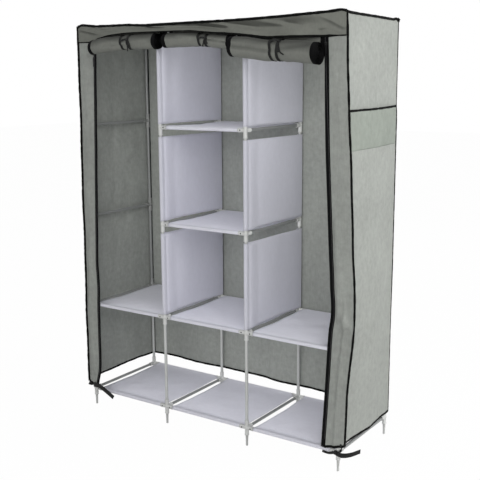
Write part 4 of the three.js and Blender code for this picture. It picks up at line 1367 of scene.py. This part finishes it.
# Where each tie's tails end, as (x, z), and where its bow lies round the roll, in half turns
TIE_TAILS = {
    "left": [(-300.0, 1640.0), (-318.0, 1632.0)],
    "centre": [(84.0, 1652.0), (62.0, 1642.0)],
    "right": [(446.0, 1602.0), (430.0, 1612.0)],
}
TIE_BARS = {"left": 1.06, "centre": 1.08, "right": 1.3}
TIE_KNOT = [(0, -6), (3.6, -5.0), (5.4, -2.0), (5.8, 0.8), (4.8, 3.6), (2.8, 5.2), (0, 5.8)]


def wrapped_ribbon(name, place, start, end, lean, count=90):
    """A closed strip of ribbon laid round the roll between two angles, in half turns."""
    roll = ROLLS[name]
    angle = np.linspace(start, end, count)[:, None] * np.pi
    across = place + lean * np.sin(angle * 0.9) + np.array([-0.5, 0, 0.5]) * RIBBON_WIDTH
    radius = roll_radius(roll, across)
    inner = roll_point(name, across, angle, radius, 0.75)
    outer = roll_point(name, across, angle, radius, 1.7)
    return np.concatenate([inner, outer[:, ::-1], inner[:, :1]], axis=1)


def door_tie(name):
    """Two ribbons round the roll, a slack bow from one to the other with its knot on the right one,
    and two tails that hang from it."""
    roll = ROLLS[name]
    stands_for = [f"door_tie_{name}"]
    left, right = TIES[name]
    patches = [wrapped_ribbon(name, left, -0.06, 1.72, 3.0), wrapped_ribbon(name, right, -0.06, 1.72, -2.0)]
    build(f"tie_{name}_ribbons", patches, [RIBBON], replaces=stands_for, sharp=60)
    bar = TIE_BARS[name] * np.pi

    def over(x, turn, out):
        return roll_point(name, x, bar + turn, roll_radius(roll, x), out)

    bow = curve_through([over(left - 3, 0.02, 2.2), over(left + 8, -0.1, 4.2),
                         over(mix(left, right, 0.5), 0.0, 6.5), over(right - 5, 0.1, 4.5),
                         over(right + 2, 0.0, 3.6)], 30)
    ribbon(f"tie_{name}_bow", bow, (0, 0.2, 1), 8.0, replaces=stands_for)
    knot = over(right, 0.0, 3.4)
    build(f"tie_{name}_knot", [lathe(knot, (1, 0.1, 0.2), TIE_KNOT, 16)], [RIBBON],
          replaces=stands_for, sharp=60)
    for count, (x, z) in enumerate(TIE_TAILS[name]):
        middle = roll_point(name, mix(right, x, 0.5), 0.98 * np.pi, roll_radius(roll, right), 3.4)
        front = ROLL_BACK - 2 * roll_radius(roll, x) - 1.5
        path = curve_through([knot, middle, (x, front, z)], 26)
        side = mix(np.array([1.0, 0, 0.1]), np.array([0.7, 0.5, 0.2]), np.linspace(0, 1, 26)[:, None])
        ribbon(f"tie_{name}_tail_{count + 1}", path, side, 6.5, taper=0.3, replaces=stands_for)


for door_name in ROLLS:
    door_tie(door_name)
    rolled_door(door_name)


# Zips: tape, teeth and the tape ends between the rolls

TOOTH_PITCH = 2.6
ZIP_STOP = 36.0


def zip_row(name, line, low, high, offsets, shift=None):
    """Tape along a zip line and its row of teeth, a square wave in the section's width. The teeth
    end at a stop above the hem."""
    z = np.linspace(low, high, 300)[:, None]
    across = np.linspace(*offsets, 5)[None] + (shift(z) if shift else 0)
    ripple = 0.35 * np.sin(z / 31) * np.linspace(0, 1, 5)[None]
    tape = points(line(z) + across, FRONT_Y - 1.3 + ripple, z)
    build(f"zip_tape_{name}", [tape], [TAPE], thickness=0.5)
    foot = low + ZIP_STOP
    count = int((high - foot) / TOOTH_PITCH)
    z = foot + (np.arange(count)[:, None] + [0, 0.12, 0.5, 0.62]).ravel() * TOOTH_PITCH
    wide = np.tile([0.55, 1.0, 1.0, 0.55], count)
    path = points(line(z), FRONT_Y - 2.1, z)
    teeth = sweep(path, ovals(3.0 * wide, 1.5 * wide, 8, 0.6), (1, 0, 0))
    build(f"zip_teeth_{name}", [teeth], [TEETH], sharp=30)


def hanging_tape(name, place, width, low):
    """The upper end of a middle zip, hanging folded between two rolls."""
    t = np.linspace(0, 1, 24)[:, None]
    across = np.linspace(-0.5, 0.5, 9)[None]
    x = place + across * width * (1 - 0.25 * t)
    z = mix(roof_front(x) - 5, low, t)
    y = FRONT_Y - 0.2 - 16 * eased(t) - 5 * np.abs(np.sin(across * 5)) * t
    build(f"zip_end_{name}", [points(x, y, z)], [TAPE], thickness=0.7)


zip_row("left", left_zip, FRONT_HEM_INNER + 1, 1676.0, (-6.5, 10.5))
zip_row("right", right_zip, FRONT_HEM_INNER + 1, 1666.0, (-14.5, 4.0), right_tape_shift)
hanging_tape("left_centre", -164.0, 30.0, 1674.0)
hanging_tape("centre_right", 185.0, 12.0, 1668.0)


# Sliders and their pull tabs keep their solids

for metal in ("zip_slider_left", "zip_slider_right", "pull_tab_left", "pull_tab_right"):
    bpy.data.objects[metal].material_slots[0].material = ENAMEL


# Ribbons that tie the cover's corners to the front feet

CORNER_RIBBON = 13.0
LOOP_RADIUS = 9.0
LOOP_LEAN = (0.0, 0.3, 1.0)
CORNER_KNOT = [(0, -8), (5.5, -7), (8, -2), (8.4, 2), (6, 7), (0, 8.4)]


def corner_loop(side, places, count, post_x, z, start, end):
    """A ribbon that leads down to a front foot and goes round it between two angles."""
    angle = np.radians(np.linspace(start, end, 26))
    circle = points(post_x + LOOP_RADIUS * np.cos(angle), -HALF_DEPTH + LOOP_RADIUS * np.sin(angle), z)
    path = np.concatenate([curve_through(places, count), circle])
    ribbon(f"corner_ribbon_{side}_loop", path, LOOP_LEAN, CORNER_RIBBON, thickness=1.0)


def corner_knot(side, place, axis):
    """The knot that holds a corner ribbon's loop."""
    build(f"corner_ribbon_{side}_knot", [lathe(place, axis, CORNER_KNOT, 18)], [RIBBON],
          sharp=60)


def corner_ribbons():
    """At the left, a loop round the foot, a knot and a tail that hangs inwards. At the right, the
    same with its tail back along the wall, and a short end beside the foot."""
    corner_loop("left", [(-655, -226, 118), (-668, -228, 108), (-681, -224, 98), (-668, -222, 96)], 20,
                POSTS[0], 99, 215, 400)
    tail = curve_through([(-642, -230, 103), (-626, -244, 107), (-594, -247, 108), (-549, -249, 92),
                          (-502, -251, 71)], 40)
    piece = ribbon("corner_ribbon_left_tail", tail, (0.3, 0.2, 1), 21.0, taper=0.1)
    corner_knot("left", (-640, -224.5, 103), (1, 0, 0.3))
    corner_loop("right", [(664, -226, 122), (668, -226, 104), (660, -222, 92)], 16, POSTS[3], 84, -35, -220)
    tail = curve_through([(640, -223, 80), (612, -229, 74), (584, -231, 76)], 30)
    ribbon("corner_ribbon_right_end", tail, (0, 0.2, 1), 11.0, taper=0.1)
    tail = curve_through([(640, -224, 79), (666, -224, 74), (692, -200, 74), (714, -158, 78)], 44)
    piece = ribbon("corner_ribbon_right_tail", tail, (0.2, 0, 1), 21.0)
    corner_knot("right", (638, -224.5, 80), (0.3, 0, 1))


corner_ribbons()
